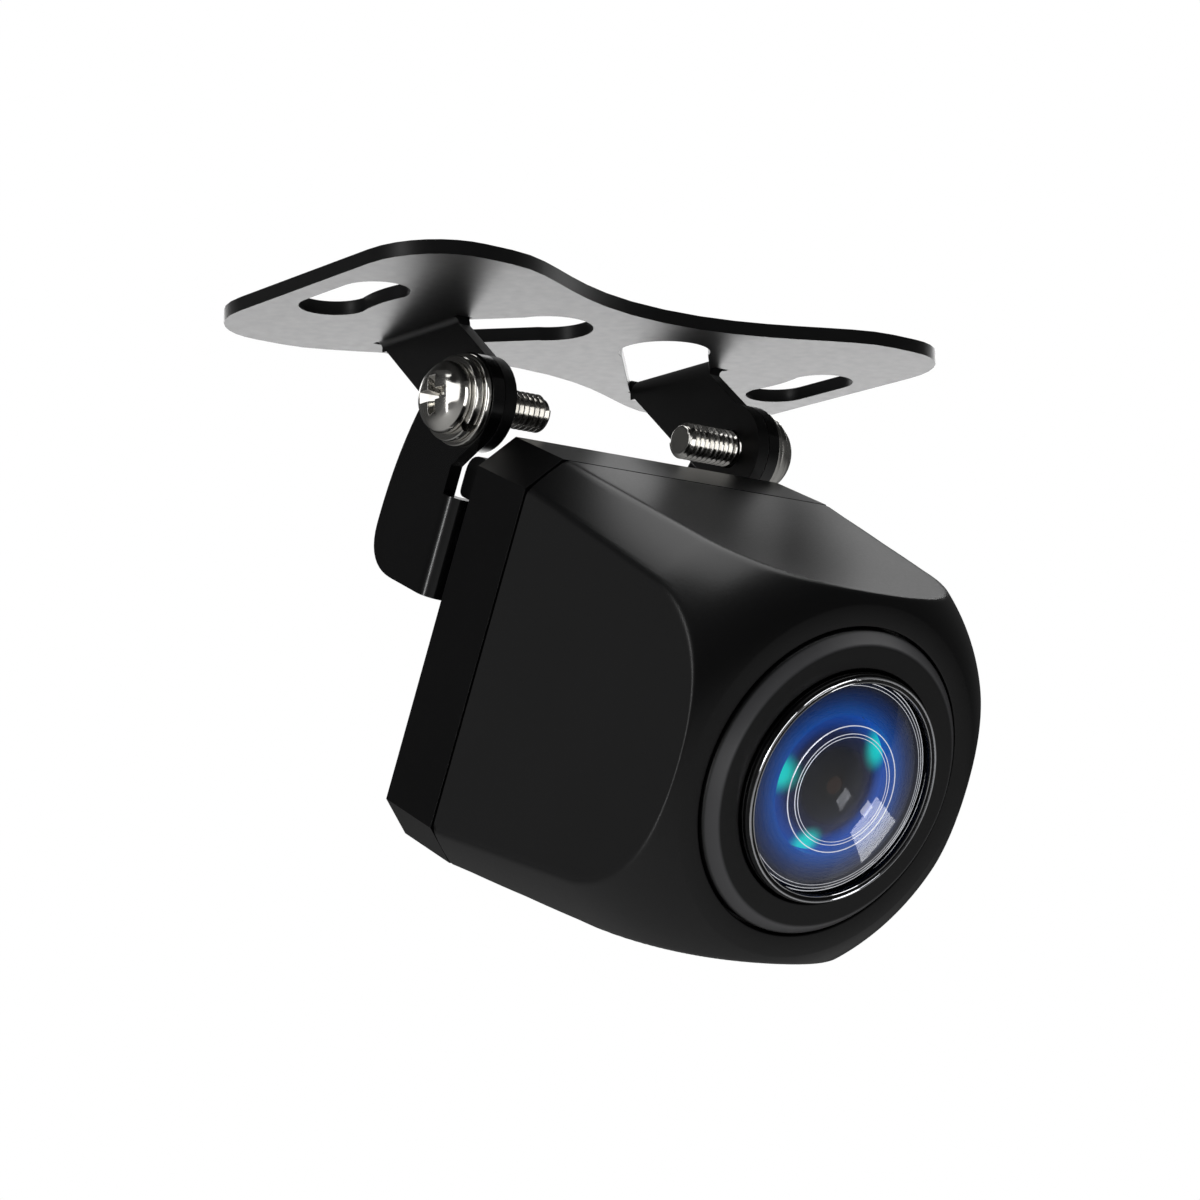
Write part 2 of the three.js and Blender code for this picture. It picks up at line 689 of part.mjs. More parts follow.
function lensStack() {
  const ring = turned(
    [
      [LENS_RADIUS + FIT, BARREL.front + FIT],
      [BARREL.head, BARREL.front + FIT],
      [BARREL.head, 24.4],
      [BARREL.head - 0.2, 24.6],
      [LENS_RADIUS + FIT, 24.6],
      [LENS_RADIUS + FIT, BARREL.front + FIT],
    ],
    40,
  );
  const baffle = turned(
    [
      [4.95, 21.25],
      [LENS_RADIUS - FIT, 21.25],
      [LENS_RADIUS - FIT, 22.4],
      [4.95, 21.8],
      [4.95, 21.25],
    ],
    32,
  );
  const iris = cut(bar(4.4, 16.6, 16.95, 0, 0, 28), bar(0.8, 15, 18, 0, 0, 12));
  const sealAhead = BARREL.shoulder - LENS_SEAL.section - FIT;
  const seal = new THREE.TorusGeometry(LENS_SEAL.radius, LENS_SEAL.section, 6, 24);
  return [
    piece("lens_ring", ring, FINISH.chrome),
    piece("front_lens", lensSolid(LENS_RADIUS, 22.45, 24.1, 1.3, 2, 6), FINISH.glass),
    piece("lens_baffle", baffle, FINISH.blueCoating),
    piece("second_lens", lensSolid(4.85, 18.6, 20.4, 0.6, 1.1), FINISH.coatedGlass),
    piece("iris_disc", iris, FINISH.blackAnodised),
    piece("third_lens", lensSolid(4.4, 13.2, 15, -0.5, 0.9), FINISH.coatedGlass),
    piece("rear_lens", lensSolid(4.4, 9.4, 11.2, -0.5, 0.9), FINISH.coatedGlass),
    piece("lens_seal", solid(seal.rotateX(Math.PI / 2).translate(0, -sealAhead, 0)), FINISH.rubber),
  ];
}

// ---------------------------------------------------------------- electronics

function lensHolder() {
  const back = SENSOR_BOARD_BACK + BOARD.thick + FIT;
  const base = block([-7, -back - 1.8, -7], [7, -back, 7]);
  const tube = bar(7, back, 14.4, 0, 0, 28);
  const thread = bar(BARREL.thread + 0.15, 8, 16, 0, 0, 28);
  const pocket = block([-4.1, -9, -4.1], [4.1, -back + 1, 4.1]);
  return piece("lens_holder", cut(join(base, tube), thread, pocket), FINISH.blackSatin);
}

/** A circuit board with holes for its four standoffs. */
function board(name, back) {
  const { halfWidth, halfHeight, thick } = BOARD;
  const outline = roundedShape([
    [halfWidth, halfHeight, 1],
    [-halfWidth, halfHeight, 1],
    [-halfWidth, -halfHeight, 1],
    [halfWidth, -halfHeight, 1],
  ]);
  const sheet = pushed(outline, back, back + thick, AHEAD, 4);
  const holes = standoffPlaces().map(([x, z]) => bar(0.75, back - 1, back + 2, x, z, 12));
  return piece(name, cut(sheet, ...holes), FINISH.board);
}

function electronics() {
  const sensorFace = SENSOR_BOARD_BACK + BOARD.thick + FIT;
  const processorRear = PROCESSOR_BOARD_BACK - FIT;
  const between = [PROCESSOR_BOARD_BACK + BOARD.thick + FIT, SENSOR_BOARD_BACK - FIT];
  const pieces = [
    lensHolder(),
    piece("ir_filter", block([-4, -7.8, -4], [4, -7.4, 4]), FINISH.glass),
    piece(
      "image_sensor",
      block([-3.2, -sensorFace - 1, -2.8], [3.2, -sensorFace, 2.8]),
      FINISH.chip,
    ),
    board("sensor_board", SENSOR_BOARD_BACK),
    board("processor_board", PROCESSOR_BOARD_BACK),
    piece(
      "processor_chip",
      block([-7, -processorRear, 0], [1, -processorRear + 0.9, 8]),
      FINISH.chip,
    ),
    piece(
      "crystal",
      block([-6, -processorRear, -6], [-2, -processorRear + 1.1, -3.8]),
      FINISH.steel,
    ),
    piece(
      "board_connector",
      block([-4, -between[1], -10], [4, -between[0], -7.4]),
      FINISH.blackSatin,
    ),
  ];
  const capacitorPlaces = [
    [5.4, 5.5],
    [5.4, 1.5],
  ];
  capacitorPlaces.forEach(([x, z], i) =>
    pieces.push(
      piece(
        "capacitor_" + (i + 1),
        bar(1.5, processorRear - 2.4, processorRear, x, z, 16),
        FINISH.steel,
      ),
    ),
  );
  standoffPlaces().forEach(([x, z], i) => {
    const pillar = turned(
      [
        [0, between[0]],
        [STANDOFF.radius, between[0]],
        [STANDOFF.radius, between[1]],
        [0.6, between[1]],
        [0.6, 9],
        [0, 9],
      ],
      12,
    );
    const screw = turned(
      [
        [0, processorRear - 0.8],
        [1.3, processorRear - 0.8],
        [1.3, processorRear],
        [0.6, processorRear],
        [0.6, between[0] - FIT],
        [0, between[0] - FIT],
      ],
      12,
    );
    pieces.push(
      piece("board_standoff_" + (i + 1), moved(pillar, x, z), FINISH.brass),
      piece("board_screw_" + (i + 1), moved(screw, x, z), FINISH.steel),
    );
  });
  return pieces;
}

// ---------------------------------------------------------------- cable gland

function cableGland() {
  const seat = -REAR_DEPTH - 1.8 - FIT;
  const { tube, bore, flange, nut, z } = GLAND;
  const atGland = (made) => moved(made, 0, z);
  const body = turned(
    [
      [bore, -5],
      [bore, seat - 4.2],
      [3.3, seat - 4.2],
      [3.3, seat - 1],
      [flange, seat - 1],
      [flange, seat],
      [tube, seat],
      [tube, -5],
      [bore, -5],
    ],
    20,
  );
  const hexagon = new THREE.CylinderGeometry(nut, nut, 4.1, 6);
  const hex = solid(hexagon.translate(0, -(seat - 1.05 - 4.1 / 2), 0));
  const inside = join(
    bar(3.4, seat - 4.5, seat, 0, 0, 20),
    bar(2.3, seat - 9, seat, 0, 0, 16),
  );
  const grommet = turned(
    [
      [1.6, seat - 4.25],
      [1.6, seat - 6.2],
      [2.2, seat - 6.2],
      [2.2, seat - 4.25],
      [1.6, seat - 4.25],
    ],
    16,
  );
  return [
    piece("cable_gland", atGland(body), FINISH.blackSatin),
    piece("gland_nut", atGland(cut(hex, inside)), FINISH.blackSatin),
    piece("cable_grommet", atGland(grommet), FINISH.rubber),
  ];
}

// ---------------------------------------------------------------- assembly

const bracket = new THREE.Group();
bracket.add(mountingPlate(), ...hingeHardware());

const camera = new THREE.Group();
camera.add(
  frontShell(),
  rearShell(),
  shellGasket(),
  ...shellScrews(),
  frontBezel(),
  lensBarrel(),
  ...lensStack(),
  ...electronics(),
  ...cableGland(),
  yoke(),
  ...yokeScrews(),
);
camera.position.set(0, -SEAM_AHEAD_OF_HINGE, -AXIS_BELOW_HINGE);

const swung = new THREE.Group();
swung.add(camera);
swung.position.set(0, HINGE.y, HINGE.z);
swung.rotation.x = PITCH;

const backupCamera = new THREE.Group();
backupCamera.add(bracket, swung);

export default backupCamera;
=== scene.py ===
"""A mini vehicle backup camera that hangs from a bow-tie mounting plate.

Pieces are drawn in millimetres. Those of the camera are drawn in its own frame, where the lens axis is
-Y and "ahead" is the distance in front of the seam between its two shells. Each one is then moved by
its mesh to its place in the model's frame, in metres.
"""

import json
import logging
import math
from dataclasses import dataclass, field
from enum import Enum
from typing import Any, Callable, Iterable, Sequence

import bmesh
import bpy
from bmesh.types import BMesh
from mathutils import Matrix, Vector

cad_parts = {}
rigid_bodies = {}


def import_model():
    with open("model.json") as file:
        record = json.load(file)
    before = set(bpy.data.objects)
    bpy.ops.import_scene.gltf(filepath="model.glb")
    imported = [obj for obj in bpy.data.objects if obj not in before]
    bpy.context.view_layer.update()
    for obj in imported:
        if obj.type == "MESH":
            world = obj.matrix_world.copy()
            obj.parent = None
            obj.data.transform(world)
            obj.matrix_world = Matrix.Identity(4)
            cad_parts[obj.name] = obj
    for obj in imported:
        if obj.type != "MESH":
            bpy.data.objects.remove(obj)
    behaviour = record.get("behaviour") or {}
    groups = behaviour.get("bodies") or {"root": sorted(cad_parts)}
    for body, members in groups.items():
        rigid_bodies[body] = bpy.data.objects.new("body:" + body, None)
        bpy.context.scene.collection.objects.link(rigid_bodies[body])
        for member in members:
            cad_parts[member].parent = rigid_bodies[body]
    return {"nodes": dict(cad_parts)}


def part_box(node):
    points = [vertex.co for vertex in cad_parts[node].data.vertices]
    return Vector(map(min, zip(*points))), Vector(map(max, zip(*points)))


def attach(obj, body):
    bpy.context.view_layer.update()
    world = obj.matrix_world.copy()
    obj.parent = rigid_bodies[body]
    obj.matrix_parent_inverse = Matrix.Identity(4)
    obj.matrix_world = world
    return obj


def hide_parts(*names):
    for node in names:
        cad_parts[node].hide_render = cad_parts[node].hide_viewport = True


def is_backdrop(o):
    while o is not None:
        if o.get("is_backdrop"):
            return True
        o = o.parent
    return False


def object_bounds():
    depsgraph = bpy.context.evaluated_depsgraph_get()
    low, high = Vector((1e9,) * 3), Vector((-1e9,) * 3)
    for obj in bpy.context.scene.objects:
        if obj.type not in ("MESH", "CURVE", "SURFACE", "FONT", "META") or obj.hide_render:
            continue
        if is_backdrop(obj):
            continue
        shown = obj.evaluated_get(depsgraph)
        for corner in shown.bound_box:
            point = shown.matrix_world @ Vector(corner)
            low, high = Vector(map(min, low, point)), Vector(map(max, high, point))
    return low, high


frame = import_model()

log = logging.getLogger("backup_camera")

MM = 0.001
PITCH = math.radians(25.5)  # how far the camera looks down at rest
SEAM_AHEAD_OF_HINGE = 12.4
AXIS_BELOW_HINGE = 17.1
FIT = 0.05  # gap between stacked pieces
SHARP = math.radians(32)  # edges that turn more than this stay crisp

Point = tuple[float, ...]
Material = bpy.types.Material


def box_list() -> list[list[float]]:
    """The object's present box as plain lists of metres."""
    return [[float(value) for value in corner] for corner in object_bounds()]


CAD_BOX = box_list()


class Body(Enum):
    """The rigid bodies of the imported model."""

    MOUNT = "mount"
    CAMERA = "camera"
    SCREW_LEFT = "screw_left"
    SCREW_RIGHT = "screw_right"


class Side(Enum):
    """The two ends of the hinge line, with the sign of X there."""

    LEFT = -1
    RIGHT = 1

    @property
    def word(self) -> str:
        """The side's name in node names."""
        return self.name.lower()


class Join(Enum):
    """How a second solid changes the first."""

    CUT = "DIFFERENCE"
    KEEP = "INTERSECT"


# ---------------------------------------------------------------- places


def hinge_place() -> Matrix:
    """The middle of the hinge line, in millimetres."""
    low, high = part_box("hinge_screw_left")
    middle = (low + high) / (2 * MM)
    return Matrix.Translation((0, middle.y, middle.z))


def camera_place() -> Matrix:
    """The camera's own frame, in millimetres."""
    hang = Matrix.Translation((0, -SEAM_AHEAD_OF_HINGE, -AXIS_BELOW_HINGE))
    return hinge_place() @ Matrix.Rotation(PITCH, 4, "X") @ hang


def hinge_end_place(side: Side) -> Matrix:
    """The hinge line's frame, in which ahead runs outwards to one side."""
    return hinge_place() @ Matrix.Rotation(side.value * math.pi / 2, 4, "Z")


# ---------------------------------------------------------------- shapes


def eased(corners: Sequence[Point], steps: int = 4) -> list[Point]:
    """Rounds the corners of an open outline.

    Args:
        corners: (radius, ahead) or (radius, ahead, rounding) of each corner.
        steps: pieces in each rounded corner.

    Returns:
        The (radius, ahead) points of the rounded outline.
    """
    points: list[Point] = []
    for i, corner in enumerate(corners):
        here = Vector(corner[:2])
        rounding = corner[2] if len(corner) > 2 else 0.0
        if rounding == 0.0:
            points.append(tuple(here))
            continue
        before = here + (Vector(corners[i - 1][:2]) - here).normalized() * rounding
        after = here + (Vector(corners[i + 1][:2]) - here).normalized() * rounding
        for step in range(steps + 1):
            share = step / steps
            points.append(tuple(before.lerp(here, share).lerp(here.lerp(after, share), share)))
    return points


def dome(radius: float, edge: float, bulge: float, steps: int = 24) -> list[Point]:
    """A spherical face from the axis to its edge.

    Args:
        radius: the face's half width.
        edge: where its edge lies, ahead of the seam.
        bulge: how far its middle stands ahead of its edge.
        steps: pieces from the middle to the edge.

    Returns:
        (radius, ahead) points that start on the axis.
    """
    ball = (radius**2 + bulge**2) / (2 * abs(bulge))
    way = math.copysign(1, bulge)
    reach = math.asin(radius / ball)
    points = []
    for step in range(steps + 1):
        angle = reach * step / steps
        points.append((ball * math.sin(angle), edge + bulge - way * ball * (1 - math.cos(angle))))
    return points


def turned(profile: Sequence[Point], steps: int = 128) -> BMesh:
    """Turns an outline round the lens axis.

    Args:
        profile: (radius, ahead) points that start and end on the axis, or end where they start.
        steps: faces round the axis.

    Returns:
        A closed solid whose faces point outwards.
    """
    made = bmesh.new()
    verts = [made.verts.new((radius, -ahead, 0)) for radius, ahead in profile]
    edges = [made.edges.new(pair) for pair in zip(verts, verts[1:])]
    bmesh.ops.spin(
        made, geom=verts + edges, cent=(0, 0, 0), axis=(0, 1, 0), angle=math.tau, steps=steps, use_merge=True
    )
    return closed(made)


def closed(made: BMesh) -> BMesh:
    """Merges doubled points and turns the faces outwards."""
    bmesh.ops.remove_doubles(made, verts=made.verts, dist=1e-4)
    bmesh.ops.dissolve_degenerate(made, dist=1e-5, edges=made.edges)
    bmesh.ops.recalc_face_normals(made, faces=made.faces)
    return made


def swept(corners: Sequence[Point], turns: float, climb: float, steps: int) -> BMesh:
    """Sweeps a small closed section round the lens axis, along a helix or an open ring.

    Args:
        corners: (radius, ahead) of the section's corners.
        turns: how many times it goes round.
        climb: how far ahead it moves in each turn.
        steps: faces in each turn.

    Returns:
        A closed solid.
    """
    made = bmesh.new()
    verts = [made.verts.new((radius, -ahead, 0)) for radius, ahead in corners]
    edges = [made.edges.new((verts[i - 1], vert)) for i, vert in enumerate(verts)]
    count = max(3, round(steps * turns))
    bmesh.ops.spin(
        made,
        geom=verts + edges,
        cent=(0, 0, 0),
        axis=(0, 1, 0),
        dvec=(0, -climb * turns / count, 0),
        angle=math.tau * turns,
        steps=count,
    )
    bmesh.ops.holes_fill(made, edges=[edge for edge in made.edges if edge.is_boundary], sides=0)
    bmesh.ops.recalc_face_normals(made, faces=made.faces)
    return made


def block(low: Point, high: Point, taper: float = 1.0) -> BMesh:
    """A box between two corners whose +Y end may be narrower.

    Args:
        low: the lowest corner.
        high: the highest corner.
        taper: the +Y end's size over the -Y end's.

    Returns:
        The box.
    """
    made = bmesh.new()
    bmesh.ops.create_cube(made, size=1)
    far = [vert for vert in made.verts if vert.co.y > 0]
    bmesh.ops.scale(made, vec=(taper, 1, taper), verts=far)
    size = Vector(high) - Vector(low)
    middle = (Vector(high) + Vector(low)) / 2
    place = Matrix.Translation(middle) @ Matrix.Diagonal((*size, 1))
    bmesh.ops.transform(made, matrix=place, verts=made.verts)
    return made


def bar(sides: int, radius: float, start: float, end: float) -> BMesh:
    """A prism along the lens axis.

    Args:
        sides: its number of sides.
        radius: from its axis to its corners.
        start: its rear end, ahead of the seam.
        end: its front end.

    Returns:
        The prism.
    """
    made = bmesh.new()
    bmesh.ops.create_cone(
        made, cap_ends=True, segments=sides, radius1=radius, radius2=radius, depth=end - start
    )
    turn = Matrix.Translation((0, -(start + end) / 2, 0)) @ Matrix.Rotation(math.pi / 2, 4, "X")
    bmesh.ops.transform(made, matrix=turn, verts=made.verts)
    return made


def merged(*parts: BMesh) -> BMesh:
    """Puts several solids into one mesh, each still a closed shell."""
    whole = parts[0]
    for part in parts[1:]:
        carried = bpy.data.meshes.new("carried")
        part.to_mesh(carried)
        part.free()
        whole.from_mesh(carried)
        bpy.data.meshes.remove(carried)
    return whole


def combined(base: BMesh, tool: BMesh, join: Join) -> BMesh:
    """Cuts one solid with another.

    Args:
        base: the solid that is worked on.
        tool: the solid that cuts it.
        join: what the cut leaves.

    Returns:
        The new solid. The two given are used up.
    """
    objects = []
    for made in (base, tool):
        mesh = bpy.data.meshes.new("blank")
        made.to_mesh(mesh)
        made.free()
        objects.append(bpy.data.objects.new("blank", mesh))
        bpy.context.scene.collection.objects.link(objects[-1])
    modifier = objects[0].modifiers.new("Cut", "BOOLEAN")
    modifier.operation = join.value
    modifier.solver = "EXACT"
    modifier.object = objects[1]
    graph = bpy.context.evaluated_depsgraph_get()
    result = bmesh.new()
    result.from_mesh(objects[0].evaluated_get(graph).to_mesh())
    for blank in objects:
        mesh = blank.data
        bpy.data.objects.remove(blank)
        bpy.data.meshes.remove(mesh)
    return result


def softened(made: BMesh, width: float, segments: int = 3, angle: float = SHARP) -> BMesh:
    """Rounds every edge that turns sharply.

    Args:
        made: the solid.
        width: the width of each rounding, in millimetres.
        segments: faces across it.
        angle: the least turn of an edge that is rounded, in radians.

    Returns:
        The same solid.
    """
    bmesh.ops.dissolve_limit(made, angle_limit=math.radians(0.8), verts=made.verts, edges=made.edges)
    crisp = [edge for edge in made.edges if len(edge.link_faces) == 2 and edge.calc_face_angle() > angle]
    bmesh.ops.bevel(
        made,
        geom=crisp,
        offset=width,
        offset_type="OFFSET",
        segments=segments,
        profile=0.5,
        affect="EDGES",
        clamp_overlap=True,
        material=-1,
    )
    return made


def drawn_from(node: str) -> BMesh:
    """A merged copy of a CAD node, in millimetres of the model's frame."""
    made = bmesh.new()
    made.from_mesh(frame["nodes"][node].data)
    bmesh.ops.scale(made, vec=(1 / MM,) * 3, verts=made.verts)
    bmesh.ops.remove_doubles(made, verts=made.verts, dist=2e-3)
    return made


def finished(
    name: str,
    made: BMesh,
    look: "Finish",
    body: Body,
    place: Matrix | None = None,
    nodes: Iterable[str] = (),
) -> bpy.types.Object:
    """Turns a solid into a piece of the model.

    Args:
        name: the piece's name.
        made: its solid, in millimetres.
        look: what it is made of.
        body: the body it moves with.
        place: the frame it is drawn in, or None for the model's own.
        nodes: the CAD nodes it stands for.

    Returns:
        The piece, at the origin, with its place in its mesh.
    """
    made.transform(Matrix.Scale(MM, 4) @ (place or Matrix.Identity(4)))
    mesh = bpy.data.meshes.new(name)
    made.to_mesh(mesh)
    made.free()
    mesh.polygons.foreach_set("use_smooth", [True] * len(mesh.polygons))
    mesh.set_sharp_from_angle(angle=SHARP)
    mesh.materials.append(look.material())
    piece = bpy.data.objects.new(name, mesh)
    bpy.context.scene.collection.objects.link(piece)
    weighted = piece.modifiers.new("Weighted normals", "WEIGHTED_NORMAL")
    weighted.keep_sharp = True
    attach(piece, body.value)
    look.slot
    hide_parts(*nodes)
    log.info("%s: %d faces, on %s", name, len(mesh.polygons), body.value)
    return piece


def dressed(node: str, look: "Finish", rounding: float = 0.08) -> bpy.types.Object:
    """Gives a CAD node its material and rounds its edges.

    Args:
        node: the node's name.
        look: what it is made of.
        rounding: the width of its rounded edges, in millimetres.

    Returns:
        The node's object.
    """
    piece = frame["nodes"][node]
    piece.data.materials.clear()
    piece.data.materials.append(look.material())
    weld = piece.modifiers.new("Weld", "WELD")
    weld.merge_threshold = 2e-6
    bevel = piece.modifiers.new("Bevel", "BEVEL")
    bevel.width = rounding * MM
    bevel.segments = 2
    bevel.limit_method = "ANGLE"
    bevel.angle_limit = SHARP
    log.info("%s: dressed in %s", node, look.slot)
    return piece


# ---------------------------------------------------------------- finishes


def linear(colour: str) -> tuple[float, float, float, float]:
    """The linear colour of an sRGB hex value."""
    values = [int(colour[i : i + 2], 16) / 255 for i in (1, 3, 5)]
    channels = [v / 12.92 if v <= 0.04045 else ((v + 0.055) / 1.055) ** 2.4 for v in values]
    return (*channels, 1.0)


def add_node(tree: bpy.types.NodeTree, kind: str, settings: dict[str, Any], **links: Any) -> bpy.types.Node:
    """Adds a node with its settings and links.

    Args:
        tree: the node tree.
        kind: the node's type.
        settings: values by attribute name, or by input name or number where the node has no such attribute.
        links: output sockets by the input they go to, with _ for a space, or n0, n1 and so on by number.

    Returns:
        The node.
    """
    node = tree.nodes.new(kind)
    for key, value in settings.items():
        if hasattr(node, key):
            setattr(node, key, value)
        else:
            node.inputs[int(key[1:]) if key[0] == "n" and key[1:].isdigit() else key].default_value = value
    for key, output in links.items():
        name = int(key[1:]) if key[0] == "n" and key[1:].isdigit() else key.replace("_", " ")
        tree.links.new(output, node.inputs[name])
    return node


@dataclass(frozen=True)
class Finish:
    """A surface with a fine grain, a slow mottle of its colour and shader values of its own."""

    slot: str
    colour: str
    mottle: str  # the colour it drifts towards
    roughness: tuple[float, float]
    grain_mm: float  # size of one grain of the surface
    relief_mm: float  # height of that grain
    mottle_mm: float = 6.0
    metallic: float = 0.0
    shader: dict[str, Any] = field(default_factory=dict)
    title: str = ""  # the material's name, where two share a slot

    def __hash__(self) -> int:
        """Finishes of one name are one finish."""
        return hash((self.slot, self.title))

    def material(self) -> Material:
        """The finish's material, made once."""
        name = f"{self.title or self.slot}_{type(self).__name__}"
        if name in bpy.data.materials:
            return bpy.data.materials[name]
        material = bpy.data.materials.new(name)
        material.use_nodes = True
        tree = material.node_tree
        tree.nodes.clear()
        place = add_node(tree, "ShaderNodeTexCoord", {}).outputs["Object"]
        shader = add_node(tree, "ShaderNodeBsdfPrincipled", {"Metallic": self.metallic, **self.shader})
        grain = self.grain(tree, place)
        smooth, dull = self.roughness
        rough = add_node(tree, "ShaderNodeMapRange", {"To Min": smooth, "To Max": dull}, Value=grain)
        relief = {"Strength": 1.0, "Distance": self.relief_mm * MM}
        bump = add_node(tree, "ShaderNodeBump", relief, Height=grain)
        colour = self.paint(tree, place)
        tree.links.new(colour, shader.inputs["Base Color"])
        # Where a finish has an emission strength, its colour also glows: painted light on the coatings and
        # rims behind the glass.
        if "Emission Strength" in self.shader:
            tree.links.new(colour, shader.inputs["Emission Color"])
        tree.links.new(rough.outputs["Result"], shader.inputs["Roughness"])
        tree.links.new(bump.outputs["Normal"], shader.inputs["Normal"])
        add_node(tree, "ShaderNodeOutputMaterial", {}, Surface=shader.outputs["BSDF"])
        return material

    def grain(self, tree: bpy.types.NodeTree, place: bpy.types.NodeSocket) -> bpy.types.NodeSocket:
        """The surface's fine relief, from 0 to 1.

        Args:
            tree: the material's nodes.
            place: where on the piece the shading is.

        Returns:
            The relief's socket.
        """
        noise = add_node(
            tree, "ShaderNodeTexNoise", {"Scale": 1 / (self.grain_mm * MM), "Detail": 3.0}, Vector=place
        )
        return noise.outputs["Fac"]

    def paint(self, tree: bpy.types.NodeTree, place: bpy.types.NodeSocket) -> bpy.types.NodeSocket:
        """The surface's colour.

        Args:
            tree: the material's nodes.
            place: where on the piece the shading is.

        Returns:
            The colour's socket.
        """
        noise = add_node(
            tree, "ShaderNodeTexNoise", {"Scale": 1 / (self.mottle_mm * MM), "Detail": 4.0}, Vector=place
        )
        ramp = add_node(tree, "ShaderNodeValToRGB", {}, Fac=noise.outputs["Fac"])
        ramp.color_ramp.elements[0].position = 0.35
        ramp.color_ramp.elements[0].color = linear(self.colour)
        ramp.color_ramp.elements[1].position = 0.75
        ramp.color_ramp.elements[1].color = linear(self.mottle)
        return ramp.outputs["Color"]


@dataclass(frozen=True)
class TurnedFinish(Finish):
    """A metal turned on a lathe: fine rings round its axis instead of a grain."""

    ring_mm: float = 0.12  # one radian of the rings' wave, so they lie six times as far apart
    axis: str = "X"

    __hash__ = Finish.__hash__

    def grain(self, tree: bpy.types.NodeTree, place: bpy.types.NodeSocket) -> bpy.types.NodeSocket:
        """The tool's rings, a wave along the axis that is broken up by a little noise.

        Args:
            tree: the material's nodes.
            place: where on the piece the shading is.

        Returns:
            The relief's socket.
        """
        rings = add_node(
            tree,
            "ShaderNodeTexWave",
            {
                "wave_type": "BANDS",
                "bands_direction": self.axis,
                "Scale": 1 / (20 * self.ring_mm * MM),
                "Distortion": 1.5,
                "Detail": 2.0,
            },
            Vector=place,
        )
        return rings.outputs["Fac"]


@dataclass(frozen=True)
class AxisFinish(Finish):
    """An optical coating whose colour depends on the distance from the lens axis. Its patches of teal, where
    it has any, are painted reflections.
    """

    stops: tuple[tuple[float, str], ...] = ()  # millimetres from the axis, and the colour there
    reach: float = 8.0
    # Each gleam is a painted reflection: a soft patch of teal at a fixed place on the coating.
    painted_gleams: tuple[tuple[float, float, float], ...] = ()  # x, up and size of each patch of teal, in mm
    painted_gleam_colour: str = "#00F0DC"

    __hash__ = Finish.__hash__

    def paint(self, tree: bpy.types.NodeTree, place: bpy.types.NodeSocket) -> bpy.types.NodeSocket:
        """The coating's rings of colour, with the painted reflections of teal laid over them.

        Args:
            tree: the material's nodes.
            place: where on the piece the shading is.

        Returns:
            The colour's socket.
        """
        seam = camera_place()
        turned_back = (seam.to_3x3().inverted()).to_euler()
        origin = seam.translation * MM
        shifted = add_node(tree, "ShaderNodeVectorMath", {"operation": "SUBTRACT", "n1": origin}, n0=place)
        facing = {"vector_type": "POINT", "Rotation": turned_back}
        local = add_node(tree, "ShaderNodeMapping", facing, Vector=shifted.outputs[0])
        flat = add_node(
            tree, "ShaderNodeVectorMath", {"operation": "MULTIPLY", "n1": (1, 0, 1)}, n0=local.outputs[0]
        )
        radius = add_node(tree, "ShaderNodeVectorMath", {"operation": "LENGTH"}, n0=flat.outputs[0])
        share = add_node(
            tree, "ShaderNodeMapRange", {"From Max": self.reach * MM}, Value=radius.outputs["Value"]
        )
        ramp = add_node(tree, "ShaderNodeValToRGB", {}, Fac=share.outputs["Result"])
        elements = ramp.color_ramp.elements
        while len(elements) < len(self.stops):
            elements.new(1.0)
        for element, (distance, colour) in zip(elements, self.stops):
            element.position = distance / self.reach
            element.color = linear(colour)
        colour = ramp.outputs["Color"]
        # Lay each painted reflection of teal over the rings, fading out from its middle.
        for x, up, size in self.painted_gleams:
            spot = (x * MM, 0.0, up * MM)
            away = add_node(
                tree, "ShaderNodeVectorMath", {"operation": "DISTANCE", "n1": spot}, n0=flat.outputs[0]
            )
            glow = add_node(
                tree,
                "ShaderNodeMapRange",
                {"interpolation_type": "SMOOTHERSTEP", "From Max": size * MM, "To Min": 1.0, "To Max": 0.0},
                Value=away.outputs["Value"],
            )
            teal = {"data_type": "RGBA", "n7": linear(self.painted_gleam_colour)}
            patch = add_node(tree, "ShaderNodeMix", teal, n0=glow.outputs[0], n6=colour)
            colour = patch.outputs[2]
        return colour


@dataclass(frozen=True)
class BoardFinish(Finish):
    """Solder mask over copper tracks: green fields with fine paler tracks between them."""

    track_mm: float = 1.2  # two fields and their tracks

    __hash__ = Finish.__hash__

    def paint(self, tree: bpy.types.NodeTree, place: bpy.types.NodeSocket) -> bpy.types.NodeSocket:
        """The board's colour with its tracks.

        Args:
            tree: the material's nodes.
            place: where on the piece the shading is.

        Returns:
            The colour's socket.
        """
        tracks = add_node(
            tree,
            "ShaderNodeTexBrick",
            {
                "Scale": 1 / (self.track_mm * MM),
                "Color1": linear(self.colour),
                "Color2": linear(self.colour),
                "Mortar": linear(self.mottle),
                "Mortar Size": 0.08,
            },
            Vector=place,
        )
        return tracks.outputs["Color"]


# Electrophoretic enamel on pressed steel: deep black, glossy, with a faint orange peel.
ENAMEL = Finish(
    "black_enamel", "#0B0B0C", "#111112", (0.16, 0.24), 0.9, 0.002, 9.0, 0.0,
    {"IOR": 1.52, "Coat Weight": 0.35, "Coat Roughness": 0.08},
)  # fmt: skip
# The plate's coat is duller, so that its underside takes an even light.
SATIN_ENAMEL = Finish(
    "black_enamel", "#0B0B0C", "#111112", (0.36, 0.44), 0.9, 0.002, 9.0, 0.0, {"IOR": 1.52}, "satin_enamel"
)
# Bright nickel plate on steel fasteners, brought up on a lathe.
NICKEL = TurnedFinish("nickel", "#D9D7D2", "#C4C2BE", (0.10, 0.22), 0.3, 0.0012, 2.0, 1.0)
# Moulded ABS with a spark-eroded texture: satin black.
HOUSING = Finish("housing_black", "#0C0C0D", "#101011", (0.27, 0.35), 0.22, 0.003, 8.0, 0.0, {"IOR": 1.5})
